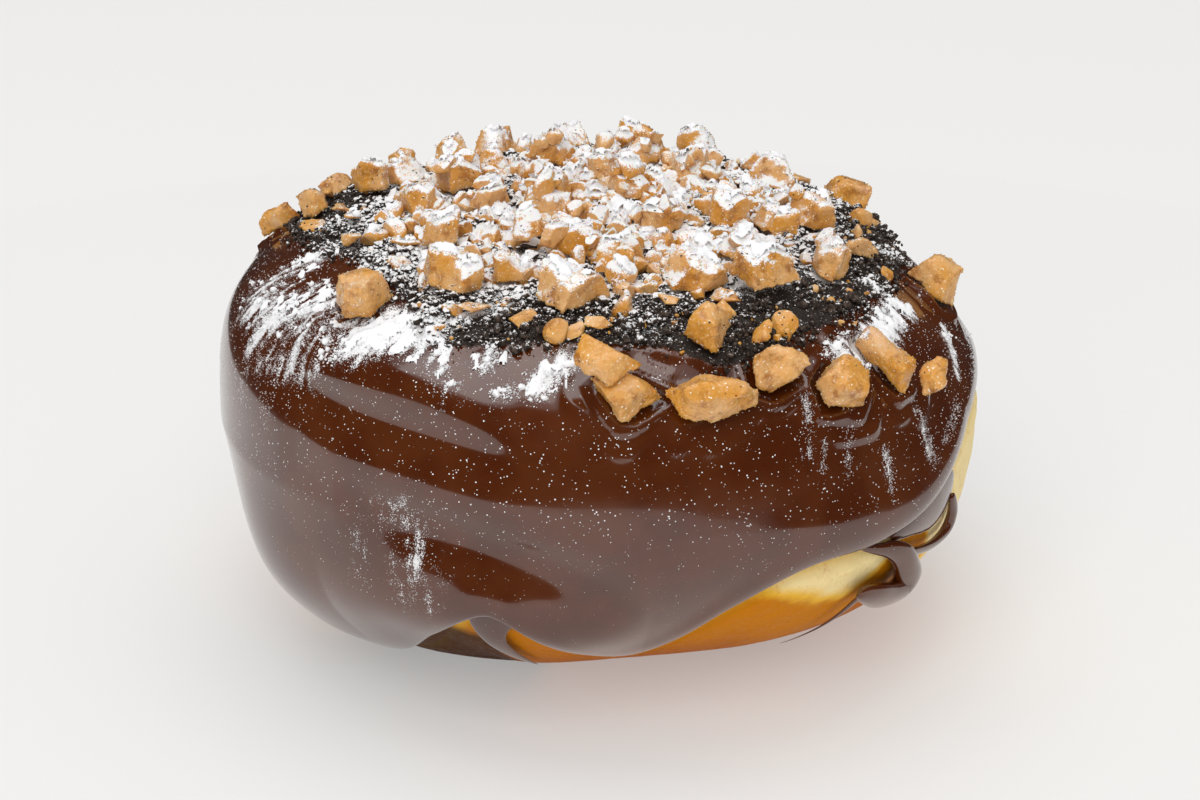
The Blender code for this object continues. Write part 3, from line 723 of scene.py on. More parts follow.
def mesh_of(name: str, form: bmesh.types.BMesh) -> bpy.types.Mesh:
    """Mesh of a form.

    Args:
        name: Name of the mesh.
        form: The form, which is used up.

    Returns:
        The mesh.
    """
    mesh = bpy.data.meshes.new(name)
    form.to_mesh(mesh)
    form.free()
    return mesh


def close_up(mesh: bpy.types.Mesh, gap: float) -> None:
    """Join a mesh's doubled vertices and turn its faces outwards.

    Args:
        mesh: The mesh.
        gap: How far apart doubled vertices are at most.
    """
    form = bmesh.new()
    form.from_mesh(mesh)
    bmesh.ops.remove_doubles(form, verts=form.verts, dist=gap)
    bmesh.ops.recalc_face_normals(form, faces=form.faces)
    form.to_mesh(mesh)
    form.free()


def ringed_mesh(name: str, columns: int, rings: int) -> tuple:
    """Ball whose vertices know their column's angle and their ring.

    Args:
        name: Name of the mesh.
        columns: Number of columns round it.
        rings: Number of rows from its top to its bottom.

    Returns:
        The mesh, each vertex's angle from the front, and each vertex's ring.
    """
    form = bmesh.new()
    bmesh.ops.create_grid(form, x_segments=columns, y_segments=rings, size=1.0)
    mesh = mesh_of(name, form)
    flat = mesh_points(mesh)
    turn, fall = math.pi * flat[:, 0], math.pi / 2 * (1 - flat[:, 1])
    level = np.where(np.abs(flat[:, 1]) > 1 - 0.5 / rings, 0.0, np.sin(fall))
    move_points(mesh, np.stack([level * np.sin(turn), -level * np.cos(turn), np.cos(fall)], axis=1))
    close_up(mesh, 1e-5)
    points = mesh_points(mesh)
    ring = np.rint(np.arccos(np.clip(points[:, 2], -1, 1)) / math.pi * rings)
    return mesh, np.arctan2(points[:, 0], -points[:, 1]), ring


@dataclass(frozen=True)
class SugarFall:
    """Where icing sugar lies, and how much."""

    veil: float = 0.95
    veil_from: float = 29.0
    veil_fade: float = 12.0
    patches: tuple = (Layer(0.9, 3.2 * MM, 63.0),)
    streak_width: float = 0.6 * MM
    streak_length: float = 6.0 * MM
    streak_below: float = 34.0
    streak_fade: float = 10.0
    clear_spot: tuple = (16.0, 30.0)
    clear_radius: float = 13 * MM
    clear_share: float = 0.45
    width_share: float = 0.9
    spots_each: int = 9
    slides_off: float = 0.1
    slides_fade: float = 0.6
    batch: int = 20000
    dustings: tuple = (
        Dusting(-72, 21, -62, 23, 4.8, 0.72), Dusting(-62, 27, -53, 25, 4.4, 0.68),
        Dusting(-76, 23, -79, 31, 4.0, 0.62), Dusting(-40, 25, -32, 28, 4.8, 1.5),
        Dusting(-74, 22, -48, 24, 7.5, 0.55),
        Dusting(-60, 16, -47, 18, 3.2, 0.55), Dusting(-48, 24, -45, 29, 3.0, 0.7),
        Dusting(-29, 25, -22, 20, 2.4, 0.8), Dusting(-31, 30, -17, 38, 2.6, 0.9),
        Dusting(-18, 24, -18, 26, 2.0, 0.7), Dusting(-9, 22, -6, 26, 2.7, 0.9),
        Dusting(-15, 20, -12, 22, 1.5, 0.6), Dusting(-44, 50, -16, 46, 4.9, 1.0),
        Dusting(-74, 56, -58, 60, 3.4, 0.9), Dusting(-58, 44, -76, 53, 3.4, 0.9),
        Dusting(-54, 39, -54, 42, 2.9, 0.6), Dusting(-92, 32, -100, 36, 2.7, 0.8),
        Dusting(-80, 36, -82, 42, 2.9, 0.8), Dusting(-124, 32, -148, 30, 4.4, 0.9),
        Dusting(-90, 44, -111, 44, 4.1, 0.9), Dusting(-146, 31, -156, 30, 3.2, 1.0),
        Dusting(-162, 40, -178, 36, 2.4, 0.8), Dusting(-123, 53, -152, 55, 4.1, 0.9),
        Dusting(-170, 54, -182, 32, 4.4, 0.9), Dusting(90, 82, 94, 71, 2.2, 0.9),
        Dusting(95, 68, 112, 60, 2.4, 0.9), Dusting(119, 51, 122, 42, 2.4, 0.7),
        Dusting(129, 36, 119, 30, 4.1, 0.9), Dusting(47, 46, 71, 46, 3.2, 0.8),
        Dusting(66, 38, 60, 33, 3.4, 0.9), Dusting(64, 22, 44, 20, 3.2, 1.0),
        Dusting(42, 22, 44, 19, 2.2, 0.7), Dusting(69, 27, 70, 20, 2.0, 0.9),
        Dusting(92, 26, 92, 21, 2.4, 0.7), Dusting(76, 15, 70, 10, 1.2, 0.9),
        Dusting(90, 11, 74, 7, 1.0, 0.7), Dusting(4, 34, 10, 30, 3.2, 0.5),
        Dusting(-1, 44, 10, 40, 2.9, 0.5), Dusting(32, 18, 30, 10, 1.5, 0.6),
        Dusting(38, 12, 36, 5, 1.1, 0.5), Dusting(44, 7, 44, 0, 1.2, 0.62),
        Dusting(53, 10, 54, 2, 1.5, 0.62), Dusting(33, 11, 32, 7, 0.7, 0.4),
        Dusting(-30, 0, -26, -10, 5.4, 0.5), Dusting(-27, 0, -26, -7, 2.7, 0.7),
        Dusting(-36, -2, -36, -10, 2.7, 0.4), Dusting(-65, 16, -64, 22, 2.0, 0.7),
        Dusting(-64, 8, -64, 20, 1.7, 0.45), Dusting(-51, 16, -53, 22, 2.2, 0.6),
        Dusting(-45, 20, -47, 25, 1.7, 0.5), Dusting(-56, 8, -54, 18, 2.0, 0.3),
        Dusting(58, 4, 65, 7, 1.2, 0.6),
    )

    @cached_property
    def dusted_spots(self) -> tuple:
        """Spots along every dusting in millimetres, with its width and amount at each."""
        t = np.linspace(0, 1, self.spots_each)[:, None]
        table = np.array(self.dustings)
        azimuth = (table[:, 0] + (table[:, 2] - table[:, 0]) * t).ravel()
        elevation = (table[:, 1] + (table[:, 3] - table[:, 1]) * t).ravel()
        spots = FORM.point(np.radians(azimuth), np.radians(elevation)) / MM
        return spots, np.tile(table[:, 4] * self.width_share, len(t)), np.tile(table[:, 5], len(t))

    def amount(self, points: np.ndarray) -> np.ndarray:
        """How much sugar lies at each point.

        Args:
            points: Points, one to a row.

        Returns:
            Amounts, 0 where there is none and 1 where it covers.
        """
        centre = np.array([0, 0, FORM.waist_height])
        offset = points - centre
        elevation = np.arctan2(offset[:, 2], np.hypot(offset[:, 0], offset[:, 1]))
        azimuth = np.arctan2(points[:, 0], -points[:, 1])
        clear = hill(np.linalg.norm(points - FORM.spot(*self.clear_spot), axis=1), self.clear_radius)
        patchy = 1 + layered(points, self.patches)
        total = patchy * self.veil * (1 - self.clear_share * clear) * smooth(
            (np.degrees(elevation) - self.veil_from) / self.veil_fade)
        spots, widths, amounts = self.dusted_spots
        for start in range(0, len(points), self.batch):
            some = slice(start, start + self.batch)
            apart = points[some] / MM
            near = (apart ** 2).sum(axis=1)[:, None] + (spots ** 2).sum(axis=1) - 2 * apart @ spots.T
            total[some] = np.maximum(total[some], (amounts * np.exp(-near / widths ** 2)).max(axis=1))
        arc = FORM.waist_radius
        fall_lines = np.stack([azimuth * arc / self.streak_width, elevation * arc / self.streak_length,
                               np.zeros(len(points))], axis=1)
        steep = smooth((self.streak_below - np.degrees(elevation)) / self.streak_fade)
        return total * (1 + steep * rough(fall_lines, 1.0, 61.0))

    def dust(self, mesh: bpy.types.Mesh, least: float = 0.12) -> None:
        """Store how much sugar lies on a mesh, at least a little: only on what faces up."""
        facing_up = smooth((mesh_normals(mesh)[:, 2] - self.slides_off) / self.slides_fade)
        paint(mesh, "sugar", (self.amount(mesh_points(mesh)) + least) * facing_up)


FALL = SugarFall()


@dataclass
class GlazeCoat:
    """Poured glaze: its fine skin, its rounded edge and its inner face."""

    thickness: float = 1.9 * MM
    edge_round: float = 1.1 * MM
    bead_rise: float = 0.45 * MM
    bead_above_edge: float = 2.2 * MM
    bead_spread: float = 2.2 * MM
    swells: tuple = (Swell(-60, 12, 2.6, 13), Swell(134, 15, 1.6, 10), Swell(-154, 14, 1.8, 11))
    folds: tuple = (
        (Swell(-56, 41.0, 0.0, 2.4), Swell(-47, 40.3, -1.0, 2.5), Swell(-36, 39.4, -1.3, 2.6),
         Swell(-26, 38.8, -1.3, 2.6), Swell(-17, 38.0, -1.0, 2.4), Swell(-9, 37.0, 0.0, 2.2)),
        (Swell(-58, 44.0, 0.0, 3.0), Swell(-47, 43.6, 0.9, 3.0), Swell(-36, 44.2, 1.4, 3.2),
         Swell(-27, 44.2, 1.4, 3.2), Swell(-19, 42.8, 0.8, 3.0), Swell(-12, 41.0, 0.0, 3.0)),
        (Swell(-48, 34.0, 0.0, 3.5), Swell(-38, 33.5, 0.6, 3.5), Swell(-27, 31.8, 0.7, 3.0),
         Swell(-16, 30.8, 0.7, 3.2), Swell(-6, 29.0, 0.6, 4.4), Swell(6, 25.5, 0.6, 7.0),
         Swell(19, 25.6, 0.8, 6.0), Swell(30, 26.4, 1.2, 4.8), Swell(40, 26.2, 1.3, 4.8),
         Swell(50, 26.8, 1.2, 4.8), Swell(59, 29.0, 0.7, 4.6), Swell(68, 31.5, 0.0, 4.5)),
        (Swell(-40, 30.0, 0.0, 4.0), Swell(-31, 29.4, -1.1, 4.0), Swell(-22, 28.6, -1.3, 4.0),
         Swell(-13, 27.2, -1.4, 4.0), Swell(-7, 25.8, -1.3, 4.0), Swell(-1, 24.6, -0.9, 4.0),
         Swell(6, 23.5, 0.0, 4.0)),
        (Swell(-46, 14.0, 0.0, 5.5), Swell(-36, 17.0, 1.6, 5.8), Swell(-27, 18.4, 2.4, 5.6),
         Swell(-18, 18.8, 2.5, 5.4), Swell(-9, 17.4, 2.6, 5.2), Swell(-4, 16.8, 2.4, 5.2),
         Swell(1, 15.6, 1.4, 5.2), Swell(8, 14.0, 0.0, 5.0)),
        (Swell(140, 36.0, 0.0, 2.8), Swell(149, 35.0, -1.0, 2.8), Swell(160, 33.5, -1.2, 2.8),
         Swell(171, 31.0, -1.0, 2.8), Swell(180, 29.0, 0.0, 2.8)),
        (Swell(98, 31.0, 0.0, 4.6), Swell(110, 28.0, 1.0, 4.8), Swell(124, 25.5, 1.1, 5.5),
         Swell(140, 26.0, 0.7, 5.5), Swell(156, 28.0, 1.0, 4.6), Swell(170, 27.5, 1.1, 4.6),
         Swell(186, 26.0, 0.8, 5.0), Swell(200, 27.0, 0.0, 5.0)),
        (Swell(-136, 38.0, 0.0, 2.8), Swell(-127, 35.8, -1.0, 2.8), Swell(-118, 33.4, -1.2, 2.8),
         Swell(-108, 31.8, -0.9, 2.8), Swell(-98, 31.0, 0.0, 2.8)),
        (Swell(-140, 31.0, 0.0, 4.4), Swell(-128, 29.0, 1.0, 4.6), Swell(-116, 26.5, 1.2, 4.8),
         Swell(-102, 26.0, 0.8, 5.0), Swell(-88, 28.0, 0.0, 5.0)),
    )
    leans: tuple = (
        (Swell(-74, 15.0, 0.0, 6.0), Swell(-60, 15.6, 0.35, 6.0), Swell(-44, 16.6, 0.6, 5.5),
         Swell(-34, 17.0, 0.4, 5.0), Swell(-22, 16.4, 0.35, 4.6), Swell(-9, 14.6, 0.9, 4.0),
         Swell(-1, 14.0, 1.1, 4.0), Swell(8, 13.0, 0.0, 4.2)),
        (Swell(-52, 33.0, 0.0, 4.0), Swell(-38, 32.5, -0.55, 4.0), Swell(-26, 30.5, -0.40, 4.0),
         Swell(-14, 26.0, -0.25, 3.6), Swell(-9, 24.2, -0.40, 3.2), Swell(-1, 21.8, -0.60, 3.0),
         Swell(7, 21.0, 0.0, 3.0)),
    )
    bed_rise: float = 0.45 * MM
    bed_grain: float = 0.35 * MM
    bed_grain_size: float = 2.4 * MM
    bed_lumps: tuple = (Layer(0.30, 1.4 * MM, 7.0), Layer(0.12, 0.9 * MM, 3.0))
    bed_lumps_from: float = 0.45
    bed_lumps_fade: float = 0.5
    waves: tuple = (Layer(0.05, 7.0 * MM, 11.0),)
    well_rise: float = 0.85 * MM
    well_dip: float = 0.7 * MM
    well_away: float = 1.3 * MM
    well_spread: float = 0.55 * MM
    well_reach: float = 6 * MM
    well_lost_on_bed: float = 0.75
    well_uneven: tuple = (Layer(0.6, 3.0 * MM, 51.0),)
    well_shift: tuple = (Layer(0.35 * MM, 2.4 * MM, 57.0),)
    ripple: float = 0.4
    ripple_away: float = 3.1 * MM
    ripple_spread: float = 1.3
    ridge: tuple = ((1, 27.5), (6, 28), (12, 26.5), (18, 24.5))
    ridge_rise: float = 1.0 * MM
    ridge_spread: float = 1.05 * MM
    columns: int = 480
    crown_rows: int = 166
    edge_steps: tuple = (4.4, 3.7, 3.05, 2.45, 1.9, 1.45, 1.08, 0.78, 0.52, 0.32, 0.16, 0.05, 0.0)
    under_rows: int = 9
    front_share: float = 0.42
    coarse_columns: int = 76
    coarse_crown_rows: int = 20
    coarse_edge_steps: tuple = (4.4, 2.4, 1.1, 0.35, 0.0)
    coarse_under_rows: int = 10

    def relief(self, azimuth: np.ndarray, elevation: np.ndarray) -> np.ndarray:
        """How far the glaze's face stands out from the outer form, as the part has it.

        Args:
            azimuth: Azimuths in radians.
            elevation: Elevations in radians.

        Returns:
            Reliefs.
        """
        points = FORM.point(azimuth, elevation)
        total = np.zeros(len(points))
        for swell in self.swells:
            away = np.linalg.norm(points - FORM.place(swell.azimuth, swell.height), axis=1)
            total += swell.rise * hill(away / MM, swell.spread)
        for fold in self.folds:
            total += fold_relief(azimuth, points[:, 2] / MM, fold)
        grain = rough(points, self.bed_grain_size) * self.bed_grain
        return total * MM + FORM.bed_share(azimuth, elevation) * (self.bed_rise + grain)

    def skin(self, azimuth: np.ndarray, elevation: np.ndarray, above_edge: np.ndarray,
             extra: np.ndarray) -> np.ndarray:
        """Points of the glaze's outer face.

        Args:
            azimuth: Azimuths in radians.
            elevation: Elevations in radians.
            above_edge: Distances above the glaze's lower edge.
            extra: Further relief.

        Returns:
            Points, one to a row.
        """
        bead = self.bead_rise * hill(above_edge - self.bead_above_edge, self.bead_spread)
        thickness = self.thickness + self.relief(azimuth, elevation) + bead + extra
        edge = 1 - np.minimum(above_edge / self.edge_round, 1.0)
        thickness *= np.sqrt(np.maximum(1 - edge ** 2, 0))
        return FORM.point(azimuth, elevation, self.thickness - thickness)

    def coarse_tree(self) -> BVHTree:
        """Search tree of the glaze as the part builds it, before anything is fused to it."""
        steps = np.array(self.coarse_edge_steps) * MM
        rings = self.coarse_crown_rows + len(steps) + self.coarse_under_rows
        mesh, azimuth, ring = ringed_mesh("coarse glaze", self.coarse_columns, rings)
        self.shape(mesh, azimuth, ring, self.coarse_crown_rows, steps, self.coarse_under_rows, None)
        form = bmesh.new()
        form.from_mesh(mesh)
        bmesh.ops.triangulate(form, faces=form.faces, quad_method="SHORT_EDGE")
        tree = BVHTree.FromBMesh(form)
        form.free()
        bpy.data.meshes.remove(mesh)
        return tree

    def shape(self, mesh: bpy.types.Mesh, azimuth: np.ndarray, ring: np.ndarray, crown: int,
              steps: np.ndarray, under: int, extra: object) -> tuple:
        """Move a ball's vertices on to the glaze.

        Args:
            mesh: The ball.
            azimuth: Each vertex's azimuth.
            ring: Each vertex's ring.
            crown: Number of rows over the crown.
            steps: Distances above the edge of the rows round it.
            under: Number of rows of the inner face.
            extra: Function that gives further relief at azimuths and elevations, or nothing.

        Returns:
            Each vertex's elevation, and whether it is on the outer face.
        """
        rim = FORM.rim_elevation(azimuth)
        centre = np.array([0, 0, FORM.waist_height])
        reach = np.linalg.norm(FORM.point(azimuth, rim) - centre, axis=1)
        spare = steps[1] if extra is None else steps[0] - steps[1]
        lowest = rim + (steps[0] + spare) / reach
        on_crown = math.pi / 2 + (lowest - math.pi / 2) * ring / crown
        step = np.clip(ring - crown - 1, 0, len(steps) - 1).astype(int)
        outer = ring <= crown + len(steps)
        elevation = np.where(ring <= crown, on_crown, rim + steps[step] / reach)
        above_edge = np.where(ring <= crown, (on_crown - rim) * reach, steps[step])
        added = np.zeros(len(ring)) if extra is None else extra(azimuth, elevation)
        face = self.skin(azimuth, elevation, above_edge, added)
        up = (ring - crown - len(steps)) / under
        inner_elevation = rim + (math.pi / 2 - rim) * np.clip(up, 0, 1)
        inner = FORM.point(azimuth, inner_elevation, self.thickness)
        move_points(mesh, np.where(outer[:, None], face, inner))
        return elevation, outer

    def wells(self, azimuth: np.ndarray, elevation: np.ndarray, toffee: BVHTree) -> np.ndarray:
        """Small rims and dips that the glaze forms round the chunks that lie in it.

        Args:
            azimuth: Azimuths in radians.
            elevation: Elevations in radians.
            toffee: Search tree of the large chunks.

        Returns:
            Reliefs.
        """
        base = FORM.point(azimuth, elevation, -self.relief(azimuth, elevation))
        near = np.full(len(base), self.well_reach)
        for index in np.nonzero((elevation > 0) & (elevation < 1.0))[0]:
            hit = toffee.find_nearest(Vector(base[index]), self.well_reach)
            if hit[0] is not None:
                near[index] = hit[3]
        bare = 1 - self.well_lost_on_bed * FORM.bed_share(azimuth, elevation)
        uneven = 1 + layered(base, self.well_uneven)
        shift = layered(base, self.well_shift)
        below = hill(near - 0.2 * MM, self.well_spread)
        rim = hill(near - self.well_away + shift, self.well_spread)
        ripple = self.ripple * hill(near - self.ripple_away + 2 * shift,
                                    self.ripple_spread * self.well_spread)
        total = self.well_rise * uneven * (rim + ripple) - self.well_dip * below
        path = np.array([FORM.spot(*place) for place in self.ridge])
        total += self.ridge_rise * hill(path_distance(base, path), self.ridge_spread)
        return total * bare

    def build(self, toffee: BVHTree, finish: bpy.types.Material) -> bpy.types.Object:
        """Make the glaze.

        Args:
            toffee: Search tree of the large chunks.
            finish: Chocolate.

        Returns:
            The piece, which replaces the icing.
        """
        steps = np.array(self.edge_steps) * MM
        rings = self.crown_rows + len(steps) + self.under_rows
        mesh, angle, ring = ringed_mesh("icing_coat", self.columns, rings)
        azimuth = angle - self.front_share * np.sin(angle)

        def extra(turn: np.ndarray, rise: np.ndarray) -> np.ndarray:
            """Fine relief that the part leaves out.

            Args:
                turn: Azimuths in radians.
                rise: Elevations in radians.

            Returns:
                Reliefs.
            """
            points = FORM.point(turn, rise)
            bed = smooth((FORM.bed_share(turn, rise) - self.bed_lumps_from) / self.bed_lumps_fade)
            face = bed * layered(points, self.bed_lumps) + (1 - bed) * layered(points, self.waves)
            lean = sum(fold_relief(turn, points[:, 2] / MM, fold) for fold in self.leans)
            return (face + lean) * MM + self.wells(turn, rise, toffee)

        elevation, outer = self.shape(mesh, azimuth, ring, self.crown_rows, steps, self.under_rows,
                                      extra)
        points = mesh_points(mesh)
        paint(mesh, "bed", FORM.bed_share(azimuth, elevation) * outer)
        paint(mesh, "sugar", FALL.amount(points) * outer)
        coat = new_piece("icing_coat", mesh, finish)
        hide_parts("icing")
        return coat


@dataclass
class GlazeRuns:
    """Runs of glaze below the edge: skirt, hook, loop, fold and fine threads."""

    sides: int = 28
    rings: int = 96
    end_power: float = 0.3
    nudge: float = 0.03
    runs: dict = field(default_factory=lambda: {
        "skirt": (
            Bead(47.2, 22.3, -0.1, 0.9, 0.4), Bead(49.8, 22.9, 0.0, 1.7, 0.5),
            Bead(52.5, 23.5, 0.1, 2.4, 0.55), Bead(55.5, 23.9, 0.1, 3.2, 0.6),
            Bead(58.4, 24.2, 0.1, 3.6, 0.6), Bead(61.0, 25.3, 0.0, 3.2, 0.55),
            Bead(63.0, 26.6, -0.1, 2.0, 0.5),
        ),
        "hook": (
            Bead(41.2, 22.6, -0.3, 0.7, 0.6), Bead(44.0, 22.0, 0.2, 1.0, 0.8),
            Bead(46.8, 21.4, 0.7, 1.3, 0.9), Bead(49.6, 20.0, 1.1, 1.5, 1.1),
            Bead(52.0, 17.8, 1.5, 1.6, 1.3), Bead(54.0, 15.6, 1.8, 1.8, 1.6),
            Bead(53.8, 14.0, 2.0, 2.0, 1.9), Bead(50.0, 14.4, 2.1, 2.1, 1.9),
            Bead(45.6, 15.9, 2.0, 2.0, 1.8), Bead(42.6, 16.9, 1.8, 1.8, 1.5),
        ),
        "loop": (
            Bead(63.0, 23.6, 0.3, 1.1, 0.6), Bead(64.4, 21.0, 0.6, 1.0, 0.7),
            Bead(63.6, 19.0, 0.8, 0.8, 0.7), Bead(59.6, 18.5, 0.9, 0.7, 0.6),
            Bead(55.0, 19.1, 1.0, 0.7, 0.6), Bead(50.8, 20.0, 1.1, 0.9, 0.7),
        ),
        "fold": (
            Bead(-17.0, 18.1, -0.9, 4.0, 0.5), Bead(-17.5, 16.5, -0.8, 3.6, 0.5),
            Bead(-18.2, 14.5, -0.5, 2.5, 0.5), Bead(-18.0, 12.3, -0.1, 1.6, 0.5),
            Bead(-16.8, 10.1, 0.1, 1.1, 0.45), Bead(-15.2, 7.9, 0.2, 0.7, 0.4),
            Bead(-14.0, 5.7, 0.2, 0.35, 0.3),
        ),
        "thread": (
            Bead(44.5, 15.5, 1.3, 0.7, 0.5), Bead(44.5, 14.3, 1.1, 0.5, 0.4),
            Bead(44.5, 12.6, 1.0, 0.35, 0.3), Bead(44.0, 10.2, 1.1, 0.25, 0.25),
            Bead(43.0, 8.0, 1.3, 0.2, 0.2), Bead(41.5, 6.2, 1.6, 0.14, 0.14),
        ),
    })

    def bead_at(self, beads: tuple, along: np.ndarray) -> np.ndarray:
        """Bead part way along a run, on a smooth curve through its beads.

        Args:
            beads: The run's beads.
            along: How far along, from 0 to 1.

        Returns:
            Azimuth, height, stand-out and half sizes, one place to a row.
        """
        table = np.array(beads, dtype=float)
        last = len(table) - 1
        index = np.minimum((along * last).astype(int), last - 1)
        t = (along * last - index)[:, None]
        before, start, end, after = (table[np.clip(index + step, 0, last)]
                                     for step in (-1, 0, 1, 2))
        return 0.5 * (2 * start + (end - before) * t
                      + (2 * before - 5 * start + 4 * end - after) * t ** 2
                      + (3 * start - before - 3 * end + after) * t ** 3)

    def run(self, name: str, beads: tuple) -> bpy.types.Mesh:
        """Ball drawn out along its beads and wrapped on the form.

        Args:
            name: Name of the mesh.
            beads: The run's beads.

        Returns:
            The mesh.
        """
        form = bmesh.new()
        bmesh.ops.create_uvsphere(form, u_segments=self.sides, v_segments=self.rings, radius=1.0)
        mesh = mesh_of(name, form)
        ball = mesh_points(mesh)
        along = np.arccos(np.clip(-ball[:, 2], -1, 1)) / math.pi
        turn = np.arctan2(ball[:, 1], ball[:, 0])
        azimuth, height, proud, wide, deep = self.bead_at(beads, along).T
        degree = math.radians(1) * FORM.waist_radius / MM
        ahead = (self.bead_at(beads, np.minimum(1.0, along + self.nudge))
                 - self.bead_at(beads, np.maximum(0.0, along - self.nudge)))
        heading = np.stack([ahead[:, 0] * degree, ahead[:, 1]], axis=1)
        heading /= np.linalg.norm(heading, axis=1, keepdims=True)
        fullness = np.maximum(np.sin(math.pi * along), 0) ** self.end_power
        sideways = wide * fullness * np.cos(turn)
        place = np.radians(azimuth - heading[:, 1] * sideways / degree)
        level = (height + heading[:, 0] * sideways) * MM
        outward = (proud + deep * fullness * np.sin(turn)) * MM
        move_points(mesh, FORM.point(place, FORM.elevation_at(place, level), -outward))
        close_up(mesh, 1e-7)
        return mesh

    def build(self, finish: bpy.types.Material) -> None:
        """Make every run.

        Args:
            finish: Chocolate.
        """
        for name, beads in self.runs.items():
            mesh = self.run(f"glaze_{name}", beads)
            new_piece(f"glaze_{name}", mesh, finish)


@dataclass
class FriedDough:
    """Solid fried dough with its fine skin."""

    lip: float = 0.7 * MM
    # Painted warm bounce light under the glaze's lip: how far below the edge it peaks, in millimetres,
    # and how far it spreads.
    painted_bounce_below_rim: float = 0.6
    painted_bounce_spread: float = 1.3
    under_gap: float = 0.2 * MM
    swell: float = 3.0 * MM
    bare_inset: tuple = (0.9 * MM, 0.1 * MM, 0.9 * MM, 1.2 * MM)
    dimple: float = 0.25 * MM
    dimple_size: float = 9 * MM
    skin_grain: tuple = (Layer(0.16 * MM, 2.8 * MM, 5.0), Layer(0.05 * MM, 0.9 * MM, 9.0))
    tuck: Swell = Swell(-33, 5, 3.4, 8)
    tuck_width: float = 11.0
    foot_fade: float = 2.5 * MM
    # Painted shadow on the dough: it lies left of this azimuth and below this height, fades over this
    # spread and has this strength. It ends at the azimuth below.
    painted_shadow: Swell = Swell(-18.0, 13.5, 0.92, 2.5)
    painted_shadow_end: float = -80.0
    fried_to: tuple = (
        (-150, 14.5), (-100, 15.0), (-60, 15.0), (-25, 17.0), (5, 18.5), (27, 18.5), (32, 17.2),
        (37, 15.7), (43, 14.8), (48, 17.5), (52, 22.5), (57, 22.5), (61, 16.0), (68, 12.0),
        (90, 13.0), (130, 15.0), (175, 15.5),
    )
    columns: int = 380
    under_rows: int = 14
    bare_rows: int = 84
    flat_rows: int = 8

    def build(self, coat: GlazeCoat, finish: bpy.types.Material) -> bpy.types.Object:
        """Make the dough.

        Args:
            coat: The glaze over it.
            finish: Fried dough.

        Returns:
            The piece, which replaces the dough.
        """
        rings = self.under_rows + self.bare_rows + self.flat_rows
        mesh, azimuth, ring = ringed_mesh("dough_crust", self.columns, rings)
        rim = FORM.rim_elevation(azimuth)
        rim_height = loop_value(FORM.rim, azimuth) * MM
        covered = coat.thickness - self.under_gap
        up = math.pi / 2 + (rim - math.pi / 2) * ring / self.under_rows
        points = FORM.point(azimuth, up, covered)
        share = np.clip((ring - self.under_rows - 1) / (self.bare_rows - 1), 0, 1)
        height = (rim_height - self.lip) * (1 - share)
        bare = around(azimuth, self.bare_inset)
        inset = covered + (bare - covered) * smooth((rim_height - self.lip - height) / self.swell)
        middle = (share > 0) & (share < 1)
        skin = FORM.point(azimuth, FORM.elevation_at(azimuth, height))
        fade = smooth(height / self.foot_fade)
        aside = (np.degrees(azimuth) - self.tuck.azimuth + 180) % 360 - 180
        inset = inset + fade * self.tuck.rise * MM * (
            hill(aside, self.tuck_width) * hill(height / MM - self.tuck.height, self.tuck.spread))
        inset = inset + middle * (
            self.dimple * (1 + rough(skin, self.dimple_size)) / 2
            + fade * layered(skin, self.skin_grain))
        body = FORM.point(azimuth, FORM.elevation_at(azimuth, height, inset), inset)
        body[:, 2] = np.where(ring >= self.under_rows + self.bare_rows, 0.0, body[:, 2])
        inward = np.clip((ring - self.under_rows - self.bare_rows) / self.flat_rows, 0, 1)
        body[:, :2] *= (1 - inward)[:, None]
        move_points(mesh, np.where((ring <= self.under_rows)[:, None], points, body))
        angle, level = np.degrees(azimuth), height / MM
        # Painted shadow on the dough, left of the fold and below the glaze's lip, where the lobe shades
        # it.
        between = smooth((self.painted_shadow.azimuth - angle) / 4) * smooth((angle - self.painted_shadow_end) / 12)
        below = smooth((self.painted_shadow.height - level) / self.painted_shadow.spread)
        paint(mesh, "painted_shadow", self.painted_shadow.rise * between * below)
        paint(mesh, "level", level - loop_value(self.fried_to, azimuth))
        # Painted warm bounce light on the dough, just below the glaze's lip.
        paint(mesh, "lip", middle * hill((rim_height - height) / MM - self.painted_bounce_below_rim,
                                         self.painted_bounce_spread))
        crust = new_piece("dough_crust", mesh, finish)
        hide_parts("dough")
        return crust


